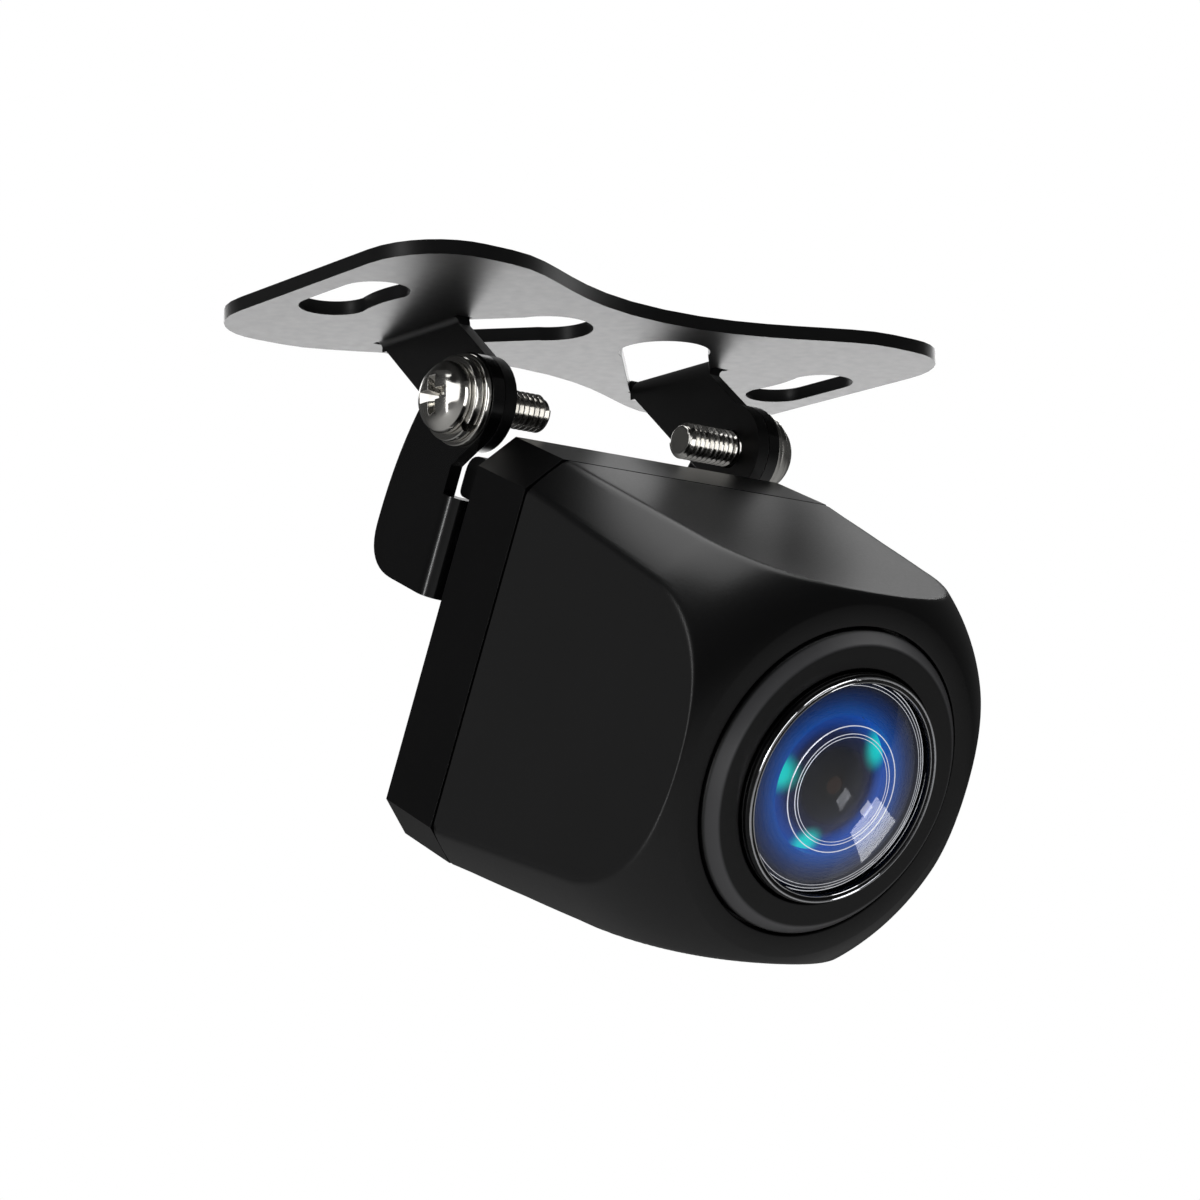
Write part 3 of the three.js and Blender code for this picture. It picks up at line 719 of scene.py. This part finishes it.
# The bezel is black but for its bevel, which is a dull grey.
BEZEL = AxisFinish(
    "bezel_black", "#0C0C0D", "#101011", (0.34, 0.44), 0.35, 0.002, 5.0, 0.0, {"IOR": 1.5},
    stops=((10.6, "#0A0A0B"), (10.8, "#565658"), (11.42, "#4C4C4E"), (11.52, "#0A0A0B")),
    reach=12.0,
)  # fmt: skip
RUBBER = Finish("seal_rubber", "#070707", "#0D0D0D", (0.65, 0.85), 0.15, 0.006)
# Polished chrome plate.
CHROME = Finish("lens_chrome", "#E4E5E8", "#D8D9DC", (0.05, 0.09), 0.6, 0.0004, 5.0, 1.0)
# The same plate on the fine edges behind the glass. It glows a little, for the light that the dome gathers.
RIM = Finish(
    "lens_chrome", "#E4E5E8", "#D8D9DC", (0.05, 0.09), 0.6, 0.0004, 5.0, 1.0,
    {"Emission Strength": 0.8}, "rim",
)  # fmt: skip
# Polished crown glass.
GLASS = Finish(
    "lens_glass", "#FFFFFF", "#F4F7FF", (0.0, 0.01), 4.0, 0.0, 8.0, 0.0,
    {"IOR": 1.52, "Transmission Weight": 1.0},
)  # fmt: skip
# The lenses behind it: nearly black in the middle, blue at the edge, with three painted reflections of teal.
# Their colour glows a little, as painted light.
COATED_GLASS = AxisFinish(
    "coated_glass", "#04103C", "#04103C", (0.02, 0.05), 3.0, 0.0, 6.0, 0.0,
    {"IOR": 1.4, "Specular IOR Level": 0.2, "Emission Strength": 0.6},
    stops=((0.0, "#2A1C14"), (0.5, "#2A1C14"), (0.75, "#010102"), (2.4, "#010414"), (3.5, "#011444"),
           (4.1, "#003C8C"), (4.8, "#0050A8")),
    painted_gleams=((-4.3, 0.2, 1.9), (3.6, 2.6, 1.9), (-0.2, -4.4, 1.6)),
)  # fmt: skip
# A stepped light trap, coated: deep blue at its inner edge and nearly black at its rim. Its colour glows a
# little, as painted light.
BAFFLE = AxisFinish(
    "blue_coating", "#0030A8", "#001040", (0.4, 0.5), 0.5, 0.002, 4.0, 0.0,
    {"IOR": 1.4, "Specular IOR Level": 0.1, "Emission Strength": 0.6},
    stops=((4.6, "#0058B4"), (5.3, "#004898"), (6.1, "#002C66"), (7.0, "#000C28"), (7.8, "#010204")),
)  # fmt: skip
ANODISED = TurnedFinish(
    "black_anodised", "#0C0C0D", "#131315", (0.25, 0.4), 0.2, 0.004, 4.0, 0.4, axis="Y", ring_mm=0.3
)
NYLON = Finish("black_plastic", "#0C0C0D", "#121213", (0.35, 0.5), 0.2, 0.005, 4.0, 0.0, {"IOR": 1.53})
SOLDER_MASK = BoardFinish("circuit_board", "#0E4A2A", "#1E6B3E", (0.25, 0.4), 0.3, 0.01)
CHIP = Finish("chip_black", "#121213", "#1A1A1B", (0.4, 0.55), 0.1, 0.004, 2.0)
STEEL = TurnedFinish("fastener_steel", "#A9ABAE", "#8F9194", (0.2, 0.36), 0.3, 0.002, 2.0, 1.0, axis="Y")
BRASS = TurnedFinish("brass", "#C9A553", "#B08E42", (0.2, 0.34), 0.3, 0.002, 2.0, 1.0, axis="Y")


# ---------------------------------------------------------------- bracket


@dataclass
class Bracket:
    """The two bent sheets: the bow-tie plate with its ears, and the camera's yoke."""

    rounding: float = 0.16

    def build(self) -> None:
        """Rounds the sheets' cut edges, as tumbling leaves them."""
        sheets = (("mounting_plate", SATIN_ENAMEL, Body.MOUNT), ("yoke", ENAMEL, Body.CAMERA))
        for node, look, body in sheets:
            made = softened(drawn_from(node), self.rounding)
            finished(f"{node}_sheet", made, look, body, nodes=[node])


@dataclass
class CrossRecess:
    """The cross-shaped recess of a screw head."""

    reach: float
    width: float
    depth: float
    taper: float = 0.45

    def cut_into(self, head: BMesh, top: float) -> BMesh:
        """Sinks the recess into a head.

        Args:
            head: the screw's solid, whose head faces ahead.
            top: where the head's top lies.

        Returns:
            The solid with its recess.
        """
        over = 0.4
        for half_x, half_z in ((self.reach, self.width / 2), (self.width / 2, self.reach)):
            arm = block((-half_x, -top - over, -half_z), (half_x, -top + self.depth, half_z), self.taper)
            head = combined(head, arm, Join.CUT)
        return head


@dataclass
class HingeHardware:
    """A screw, a spring washer and a flat washer at each end of the hinge line."""

    seat: float = 14.65 + 0.05  # outer face of the yoke's ear, and the gap to the first washer
    flat_radius: float = 3.6
    flat_thick: float = 0.5
    spring_radius: float = 3.3
    spring_thick: float = 0.75
    bore: float = 1.65
    shank: float = 1.5
    core: float = 1.22
    pitch: float = 0.5
    tip: float = 7.15
    thread_end: float = 12.6
    head: float = 2.8
    head_height: float = 1.7

    def build(self) -> None:
        """Builds both ends."""
        for side, body in ((Side.LEFT, Body.SCREW_LEFT), (Side.RIGHT, Body.SCREW_RIGHT)):
            place = hinge_end_place(side)
            self.flat_washer(side, place)
            self.spring_washer(side, place)
            self.screw(side, body, place)

    def flat_washer(self, side: Side, place: Matrix) -> None:
        """Builds the stamped flat washer.

        Args:
            side: which end it is on.
            place: that end's frame.
        """
        start, end = self.seat, self.seat + self.flat_thick
        outline = eased([
            (self.bore, (start + end) / 2), (self.bore, start, 0.08), (self.flat_radius, start, 0.08),
            (self.flat_radius, end, 0.16), (self.bore, end, 0.12), (self.bore, (start + end) / 2),
        ])  # fmt: skip
        name = f"flat_washer_{side.word}"
        finished(f"{name}_ring", turned(outline), NICKEL, Body.MOUNT, place, [name])

    def spring_washer(self, side: Side, place: Matrix) -> None:
        """Builds the split spring washer, wound from square wire.

        Args:
            side: which end it is on.
            place: that end's frame.
        """
        start = self.seat + self.flat_thick + FIT
        end = start + self.spring_thick
        section = eased([
            (self.bore, (start + end) / 2), (self.bore, start, 0.12), (self.spring_radius, start, 0.12),
            (self.spring_radius, end, 0.12), (self.bore, end, 0.12), (self.bore, (start + end) / 2),
        ])[:-1]  # fmt: skip
        ring = swept(section, turns=0.965, climb=0.0, steps=128)
        bmesh.ops.rotate(
            ring, cent=(0, 0, 0), matrix=Matrix.Rotation(math.radians(60), 3, "Y"), verts=ring.verts
        )
        name = f"spring_washer_{side.word}"
        finished(f"{name}_coil", ring, NICKEL, Body.MOUNT, place, [name])

    def screw(self, side: Side, body: Body, place: Matrix) -> None:
        """Builds the pan-head machine screw with its thread and cross recess.

        Args:
            side: which end it is on.
            body: the body that turns with it.
            place: that end's frame.
        """
        seat = self.seat + self.flat_thick + self.spring_thick + 2 * FIT
        top = seat + self.head_height
        outline = eased([
            (0, self.tip), (self.core, self.tip, 0.2), (self.core, self.thread_end),
            (self.shank, self.thread_end + 0.25), (self.shank, seat), (self.head, seat, 0.12),
            (self.head + 0.02, seat + 0.75, 0.45), (self.head - 0.95, top, 0.75), (0, top + 0.04),
        ], steps=6)  # fmt: skip
        blank = turned(outline, 96)
        recess = CrossRecess(reach=1.85, width=1.05, depth=1.25, taper=0.4)
        blank = softened(recess.cut_into(blank, top), 0.1, 3, math.radians(40))
        root, tip = self.core - 0.06, self.tip
        ridge = [(root, tip), (self.shank, tip + 0.21), (self.shank, tip + 0.27), (root, tip + 0.46)]
        turns = (self.thread_end - self.tip) / self.pitch - 0.9
        thread = swept(ridge, turns, self.pitch, 40)
        name = f"hinge_screw_{side.word}"
        finished(f"{name}_steel", merged(blank, thread), NICKEL, body, place, [name])


# ---------------------------------------------------------------- housing


@dataclass
class PanScrew:
    """A small pan-head screw at the back of the camera, seen by its head."""

    name: str
    x: float
    z: float
    seat: float
    head: float
    height: float
    radius: float
    length: float

    def build(self) -> None:
        """Builds the screw with its head to the rear."""
        rear = self.seat - self.height
        outline = eased([
            (0, -rear), (self.head - 0.35, -rear, 0.4), (self.head, -rear - self.height * 0.45, 0.3),
            (self.head, -self.seat, 0.08), (self.radius, -self.seat),
            (self.radius, -self.seat - self.length, 0.2), (0, -self.seat - self.length),
        ], steps=5)  # fmt: skip
        recess = CrossRecess(self.head * 0.6, self.head * 0.24, self.height * 0.6)
        made = softened(recess.cut_into(turned(outline, 64), -rear), 0.04, 2, math.radians(50))
        turn = Matrix.Translation((self.x, 0, self.z)) @ Matrix.Rotation(math.pi, 4, "Z")
        finished(f"{self.name}_steel", made, STEEL, Body.CAMERA, camera_place() @ turn, [self.name])


@dataclass
class Housing:
    """The front and rear shells with their seal and screws."""

    half: float = 16.0  # half the width at the seam
    corner: float = 2.66  # chamfer on the long edges
    draft: float = 0.08
    face: float = 22.85  # the front rim, ahead of the seam
    wall: float = 1.9
    cavity: float = 15.5
    groove: float = 11.8  # radius of the recess that holds the bezel
    groove_floor: float = 21.4
    throat: float = 7.2
    edge: float = 0.26  # how softly the flat sides run into the rounded nose
    rear: float = 6.6
    screw_x: float = 12.0
    screw_top: float = 7.0
    screw_bottom: float = -12.0

    def outline(self) -> list[Point]:
        """The front shell's section, from the seam round the nose and back inside."""
        corner = math.hypot(self.half, self.half - self.corner)
        shoulder = Vector((18.6, 15.0))
        start = Vector((corner, 0.12))
        steps = 48
        points: list[Point] = [(corner - self.wall, 0.0), (corner - 0.12, 0.0)]
        points += [tuple(start.lerp(shoulder, i / steps)) for i in range(steps)]
        curve = (shoulder, Vector((18.05, 18.7)), Vector((16.0, 22.0)), Vector((13.4, self.face)))
        for i in range(steps + 1):
            share = i / steps
            first = [a.lerp(b, share) for a, b in zip(curve, curve[1:])]
            second = [a.lerp(b, share) for a, b in zip(first, first[1:])]
            points.append(tuple(second[0].lerp(second[1], share)))
        points += eased([
            (13.4, self.face), (self.groove, self.face, 0.14), (self.groove, self.groove_floor),
            (9.2, self.groove_floor), (9.2, 19.96), (self.throat, 19.96), (self.throat, self.cavity),
        ])[1:]  # fmt: skip
        inside = Vector((self.cavity_radius(self.cavity), self.cavity))
        inside_end = Vector((self.cavity_radius(0.0), 0.0))
        points += [tuple(inside.lerp(inside_end, i / 12)) for i in range(13)]
        points.append(points[0])
        return points

    def cavity_radius(self, ahead: float) -> float:
        """The rounded corner of the hollow, from the lens axis."""
        return 18.76 - 0.139 * ahead

    def flattened(self, made: BMesh) -> BMesh:
        """Presses the four drafted sides flat into the turned nose.

        Args:
            made: the turned solid.

        Returns:
            The same solid.
        """
        for vert in made.verts:
            radius = math.hypot(vert.co.x, vert.co.z)
            ahead = -vert.co.y
            if radius < self.throat - 1:
                continue
            inner = ahead <= self.cavity + 0.01 and radius <= self.cavity_radius(ahead) + 0.01
            spread = max(abs(vert.co.x), abs(vert.co.z)) / radius
            flat = (self.half - (self.wall if inner else 0.0) - self.draft * ahead) / spread
            blend = max(self.edge - abs(radius - flat), 0.0) / self.edge
            limited = min(radius, flat) - blend**2 * self.edge / 4
            vert.co.x *= limited / radius
            vert.co.z *= limited / radius
        return made

    def build(self) -> None:
        """Builds the shells, the seal in their seam and the screws at the back."""
        place = camera_place()
        front = self.flattened(turned(self.outline(), 360))
        finished("front_shell_moulding", front, HOUSING, Body.CAMERA, place, ["front_shell"])
        rear = softened(drawn_from("rear_shell"), 0.3)
        finished("rear_shell_moulding", rear, HOUSING, Body.CAMERA, nodes=["rear_shell"])
        dressed("shell_gasket", RUBBER, 0.03)
        places = [(x, z) for z in (self.screw_top, self.screw_bottom) for x in (-self.screw_x, self.screw_x)]
        for number, (x, z) in enumerate(places, 1):
            PanScrew(f"shell_screw_{number}", x, z, -self.rear + 1.25, 1.8, 1.2, 1.0, 9.5).build()
        for side in Side:
            PanScrew(f"yoke_screw_{side.word}", 6.0 * side.value, 5.6, -11.35, 2.2, 1.3, 1.2, 3.8).build()


# ---------------------------------------------------------------- lens


@dataclass(frozen=True)
class Wire:
    """A thin bright ring round the lens axis."""

    name: str
    radius: float
    ahead: float
    section: float  # half its thickness
    look: Finish

    def outline(self) -> list[Point]:
        """The ring's round section."""
        sides = 10
        angles = [i * math.tau / sides for i in range(sides + 1)]
        return [
            (self.radius + self.section * math.cos(angle), self.ahead + self.section * math.sin(angle))
            for angle in angles
        ]


@dataclass
class LensUnit:
    """The bezel, the barrel and the lenses in it."""

    bezel: float = 11.6
    bezel_bore: float = 8.95
    bezel_back: float = 21.45
    bezel_front: float = 23.8
    bevel: float = 0.85
    lens: float = 8.0
    head: float = 8.75
    ring_front: float = 24.6
    glass_front: float = 24.1  # where the edges of the front lens's two faces lie
    glass_back: float = 22.45
    inner: float = 4.85  # the second lens
    inner_front: float = 21.7
    inner_back: float = 18.6
    trap_bore: float = 4.95  # the light trap
    trap_back: float = 21.25
    trap_rim: float = 22.3
    trap_lip: float = 22.6

    def build(self) -> None:
        """Builds every turned piece on the lens axis."""
        self.bezel_ring()
        self.barrel()
        self.lens_ring()
        self.glass()
        self.baffle()
        for node, look in (("lens_seal", RUBBER), ("third_lens", COATED_GLASS), ("rear_lens", COATED_GLASS)):
            dressed(node, look, 0.05)

    def turned_piece(self, name: str, outline: Sequence[Point], look: "Finish", nodes: Iterable[str]) -> None:
        """Builds one piece turned round the lens axis.

        Args:
            name: the piece's name.
            outline: its section.
            look: what it is made of.
            nodes: the CAD nodes it stands for.
        """
        finished(name, turned(outline, 160), look, Body.CAMERA, camera_place(), nodes)

    def bezel_ring(self) -> None:
        """Builds the bevelled ring round the lens."""
        outline = eased([
            (self.bezel_bore, self.bezel_back + 0.3), (self.bezel_bore, self.bezel_back, 0.1),
            (self.bezel, self.bezel_back, 0.1), (self.bezel, self.bezel_front - self.bevel, 0.12),
            (self.bezel - self.bevel, self.bezel_front, 0.2), (self.bezel_bore, self.bezel_front, 0.14),
            (self.bezel_bore, self.bezel_back + 0.3),
        ])  # fmt: skip
        self.turned_piece("front_bezel_ring", outline, BEZEL, ["front_bezel"])

    def barrel(self) -> None:
        """Builds the threaded barrel with the steps inside its mouth."""
        outline = eased([
            (4.5, 9.0), (4.5, 8.6, 0.1), (6.0, 8.6, 0.2), (6.0, 17.0), (6.9, 17.0, 0.1), (6.9, 20.9),
            (self.head, 20.9, 0.12), (self.head, 23.9, 0.1), (self.lens + FIT, 23.9), (self.lens + FIT, 21.2),
            (5.0, 21.2), (5.0, 17.5), (4.5, 17.5), (4.5, 9.0),
        ])  # fmt: skip
        self.turned_piece("lens_barrel_body", outline, ANODISED, ["lens_barrel"])

    def lens_ring(self) -> None:
        """Builds the dark ring that holds the front lens, with its beads and the rims behind the glass."""
        inside, back, front = self.lens + FIT, 23.95, self.ring_front - 0.12
        outline = eased([
            (inside, back + 0.2), (inside, back), (self.head, back, 0.06), (self.head, front - 0.2, 0.1),
            (self.head - 0.3, front, 0.08), (inside, front - 0.1, 0.05), (inside, back + 0.2),
        ])  # fmt: skip
        self.turned_piece("lens_ring_seat", outline, ANODISED, ["lens_ring"])
        wires = (
            Wire("lens_ring_chrome", 8.5, front, 0.085, CHROME),
            Wire("lens_ring_bead", 8.16, front - 0.06, 0.045, CHROME),
            Wire("rim_outer", 7.72, 22.46, 0.035, RIM),
            Wire("rim_middle", 7.46, 22.52, 0.025, RIM),
            Wire("rim_third", 7.2, 22.58, 0.02, RIM),
            Wire("rim_of_baffle", 4.5, 23.22, 0.035, RIM),
            Wire("rim_of_second_lens", 3.95, 23.3, 0.025, RIM),
            Wire("rim_of_iris", 3.72, 23.32, 0.02, RIM),
        )
        for wire in wires:
            self.turned_piece(wire.name, wire.outline(), wire.look, [])

    def glass(self) -> None:
        """Builds the domed front lens, the second lens and the iris behind it."""
        front = dome(self.lens, self.glass_front, 2.0) + dome(self.lens, self.glass_back, 1.3)[::-1]
        self.turned_piece("front_lens_glass", front, GLASS, ["front_lens"])
        second = dome(self.inner, self.inner_front, 1.0) + dome(self.inner, self.inner_back, 0.6)[::-1]
        self.turned_piece("second_lens_glass", second, COATED_GLASS, ["second_lens"])
        iris = eased([
            (0.8, 16.7), (0.8, 16.6), (4.4, 16.6), (4.4, 16.95), (0.9, 16.95, 0.05), (0.8, 16.8), (0.8, 16.7),
        ])  # fmt: skip
        self.turned_piece("iris_leaf", iris, ANODISED, ["iris_disc"])

    def baffle(self) -> None:
        """Builds the stepped light trap between the front lens and the second."""
        inside, outside, steps = self.trap_bore, self.lens - FIT, 9
        points: list[Point] = [(inside, self.trap_back), (outside, self.trap_back)]
        for step in range(steps):
            radius = outside - (outside - inside) * step / steps
            ahead = self.trap_rim + (self.trap_lip - self.trap_rim) * step / steps
            points += [(radius, ahead), (radius - 0.22, ahead - 0.01), (radius - 0.22, ahead - 0.06)]
        points += [(inside, self.trap_lip), (inside, self.trap_back)]
        self.turned_piece("lens_baffle_steps", points, BAFFLE, ["lens_baffle"])


# ---------------------------------------------------------------- inside and back


@dataclass
class CableGland:
    """The gland at the back that a cable leaves through."""

    z: float = -6.5
    seat: float = -6.6 - 1.8 - 0.05
    tube: float = 3.0
    bore: float = 1.9
    flange: float = 4.6
    nut: float = 5.2

    def build(self) -> None:
        """Builds the gland's body, its hexagonal nut and its grommet."""
        place = camera_place() @ Matrix.Translation((0, 0, self.z))
        seat = self.seat
        body = eased([
            (self.bore, -5.4), (self.bore, seat - 4.2, 0.1), (3.3, seat - 4.2, 0.2), (3.3, seat - 1.0),
            (self.flange, seat - 1.0, 0.2), (self.flange, seat, 0.1), (self.tube, seat),
            (self.tube, -5.0, 0.1), (self.bore, -5.0, 0.1), (self.bore, -5.4),
        ])  # fmt: skip
        finished("cable_gland_body", turned(body, 96), NYLON, Body.CAMERA, place, ["cable_gland"])
        rear, front = seat - 1.05 - 4.1, seat - 1.05
        hexagon = bar(6, self.nut, rear, front)
        bmesh.ops.rotate(
            hexagon, cent=(0, 0, 0), matrix=Matrix.Rotation(math.pi / 6, 3, "Y"), verts=hexagon.verts
        )
        slope = 0.45
        barrel = turned([
            (0, rear), (self.nut - slope * 1.8, rear), (self.nut, rear + slope), (self.nut, front - slope),
            (self.nut - slope * 1.8, front), (0, front),
        ], 96)  # fmt: skip
        nut = combined(hexagon, barrel, Join.KEEP)
        nut = combined(nut, bar(96, 3.4, seat - 4.5, seat), Join.CUT)
        nut = combined(nut, bar(96, 2.3, rear - 1, seat), Join.CUT)
        finished("gland_nut_hexagon", softened(nut, 0.12), NYLON, Body.CAMERA, place, ["gland_nut"])
        sleeve = eased([
            (1.6, seat - 5), (1.6, seat - 6.2, 0.15), (2.2, seat - 6.2, 0.2), (2.2, seat - 4.25, 0.1),
            (1.6, seat - 4.25, 0.1), (1.6, seat - 5),
        ])  # fmt: skip
        finished("cable_grommet_sleeve", turned(sleeve, 64), RUBBER, Body.CAMERA, place, ["cable_grommet"])


@dataclass
class Electronics:
    """The boards and the parts on them, inside the housing."""

    looks: dict[str, Finish] = field(
        default_factory=lambda: {
            "lens_holder": NYLON, "board_connector": NYLON, "ir_filter": COATED_GLASS, "image_sensor": CHIP,
            "processor_chip": CHIP, "sensor_board": SOLDER_MASK, "processor_board": SOLDER_MASK,
            "crystal": STEEL, "capacitor_": STEEL, "board_screw_": STEEL, "board_standoff_": BRASS,
        }
    )  # fmt: skip

    def build(self) -> None:
        """Dresses each node by the start of its name."""
        for node in sorted(frame["nodes"]):
            for start, look in self.looks.items():
                if node.startswith(start):
                    dressed(node, look)


# ---------------------------------------------------------------- studio


METAL_PIECES = tuple(
    f"{piece}_{side.word}_{part}"
    for piece, part in (("flat_washer", "ring"), ("spring_washer", "coil"), ("hinge_screw", "steel"))
    for side in Side
) + ("lens_ring_chrome", "lens_ring_bead")


@dataclass(frozen=True)
class Softbox:
    """A rectangular light that looks at the object's middle."""

    name: str
    azimuth: float  # degrees round the object, 0 in front of it
    elevation: float
    distance: float = 0.6
    width: float = 0.4
    height: float = 0.4
    radiance: float = 1.0
    only: tuple[str, ...] = ()  # the pieces that it lights, or none for all

    def build(self, middle: Vector) -> None:
        """Hangs the light.

        Args:
            middle: what it looks at.
        """
        lamp = bpy.data.lights.new(self.name, "AREA")
        lamp.shape = "RECTANGLE"
        lamp.size, lamp.size_y = self.width, self.height
        lamp.energy = self.radiance * math.pi * self.width * self.height
        stand = bpy.data.objects.new(self.name, lamp)
        bpy.context.scene.collection.objects.link(stand)
        back = direction(self.azimuth, self.elevation)
        turn = back.to_track_quat("Z", "Y").to_matrix().to_4x4()
        stand.matrix_world = Matrix.Translation(middle + back * self.distance) @ turn
        stand.visible_camera = False
        if self.only:
            lit = bpy.data.collections.new(f"{self.name}_lights")
            for name in self.only:
                lit.objects.link(bpy.data.objects[name])
            stand.light_linking.receiver_collection = lit


def direction(azimuth: float, elevation: float) -> Vector:
    """The way from the object to a place round it, both angles in degrees."""
    a, e = math.radians(azimuth), math.radians(elevation)
    return Vector((math.sin(a) * math.cos(e), -math.cos(a) * math.cos(e), math.sin(e)))


@dataclass
class Studio:
    """A pale floor far below, a pale room, soft lights and the camera."""

    azimuth: float = -39.53
    elevation: float = -9.95
    roll: float = -0.17
    distance: float = 0.262
    lens_mm: float = 97.0
    aim: Vector = field(default_factory=lambda: Vector((0.0043, 0.0039, -0.0208)))
    floor_drop: float = 0.35
    floor_reach: float = 6.0
    room: float = 0.06  # how bright the room is to everything but the eye
    lights: tuple[Softbox, ...] = (
        Softbox("left_wall", -132, 5, 0.8, 0.6, 0.7, 0.16, ("front_shell_moulding",)),
        Softbox("left_strip", -92, -6, 0.7, 0.06, 1.0, 7.0),
        Softbox("back_low", 137, -8, 1.0, 3.0, 1.0, 3.7, ("mounting_plate_sheet",)),
        Softbox("back_high", 124, 36, 0.8, 0.4, 0.2, 0.9),
        Softbox("back_strip", 102, 44, 0.8, 0.05, 0.3, 4.0),
        Softbox("overhead", 0, 86, 0.9, 0.9, 0.9, 2.0),
        Softbox("metal_left", -70, 20, 0.7, 0.8, 0.9, 1.8, METAL_PIECES),
        Softbox("metal_front", 20, -10, 0.7, 0.25, 0.9, 2.8, METAL_PIECES),
        Softbox("metal_back", 150, 30, 0.8, 0.9, 0.4, 1.8, METAL_PIECES),
        Softbox("bevel_left", -38, -33, 0.7, 0.5, 0.5, 1.3, ("front_bezel_ring",)),
        Softbox("bevel_top", 44, 30, 0.7, 0.5, 0.3, 1.3, ("front_bezel_ring",)),
        Softbox("bevel_low", 116, -44, 0.7, 0.5, 0.3, 1.0, ("front_bezel_ring",)),
        Softbox("glint", 60, -30, 0.5, 0.05, 0.04, 5.0, ("front_lens_glass",)),
        Softbox("veil", 84, -26, 0.5, 0.5, 0.7, 0.13, ("front_lens_glass",)),
    )

    def build(self) -> None:
        """Builds the floor, the room, the lights and the camera."""
        low, high = (Vector(corner) for corner in CAD_BOX)
        middle = (low + high) / 2
        self.floor(low.z - self.floor_drop)
        self.room_light()
        for light in self.lights:
            light.build(middle)
        self.camera()
        bpy.context.scene.view_settings.view_transform = "Standard"

    def floor(self, height: float) -> None:
        """Lays the floor.

        Args:
            height: where it lies, in metres.
        """
        made = bmesh.new()
        bmesh.ops.create_grid(made, x_segments=2, y_segments=2, size=self.floor_reach)
        bmesh.ops.translate(made, vec=(0, 0, height), verts=made.verts)
        mesh = bpy.data.meshes.new("floor")
        made.to_mesh(mesh)
        made.free()
        paper = Finish("floor", "#F4F4F4", "#EFEFEF", (0.8, 0.9), 2.0, 0.0, 400.0)
        mesh.materials.append(paper.material())
        floor = bpy.data.objects.new("floor", mesh)
        bpy.context.scene.collection.objects.link(floor)
        floor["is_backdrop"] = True

    def room_light(self) -> None:
        """Lights the room evenly, and shows it as clean white behind the object."""
        world = bpy.data.worlds.new("room")
        world.use_nodes = True
        tree = world.node_tree
        tree.nodes.clear()
        path = add_node(tree, "ShaderNodeLightPath", {})
        seen = path.outputs["Is Camera Ray"]
        strength = add_node(
            tree, "ShaderNodeMapRange", {"To Min": self.room, "To Max": 1.0}, Value=seen
        )
        background = add_node(
            tree, "ShaderNodeBackground", {"Color": (1, 1, 1, 1)}, Strength=strength.outputs["Result"]
        )
        add_node(tree, "ShaderNodeOutputWorld", {}, Surface=background.outputs["Background"])
        bpy.context.scene.world = world

    def camera(self) -> None:
        """Sets up the camera."""
        optics = bpy.data.cameras.new("view")
        optics.sensor_width, optics.lens = 36.0, self.lens_mm
        optics.clip_start, optics.clip_end = 0.01, 50.0
        view = bpy.data.objects.new("view", optics)
        bpy.context.scene.collection.objects.link(view)
        back = direction(self.azimuth, self.elevation)
        right = Vector((math.cos(math.radians(self.azimuth)), math.sin(math.radians(self.azimuth)), 0.0))
        turn = Matrix((right, back.cross(right), back)).transposed().to_4x4()
        roll = Matrix.Rotation(math.radians(self.roll), 4, "Z")
        view.matrix_world = Matrix.Translation(self.aim + back * self.distance) @ turn @ roll
        bpy.context.scene.camera = view


def main() -> None:
    """Builds the object and its studio, in order, then measures both boxes."""
    builders: tuple[Callable[[], None], ...] = (
        Bracket().build,
        HingeHardware().build,
        Housing().build,
        LensUnit().build,
        CableGland().build,
        Electronics().build,
        Studio().build,
    )
    for build in builders:
        build()
    {"cad": CAD_BOX, "visual": box_list()}


if __name__ == "__main__":
    logging.basicConfig(level=logging.INFO, format="%(message)s")
    main()
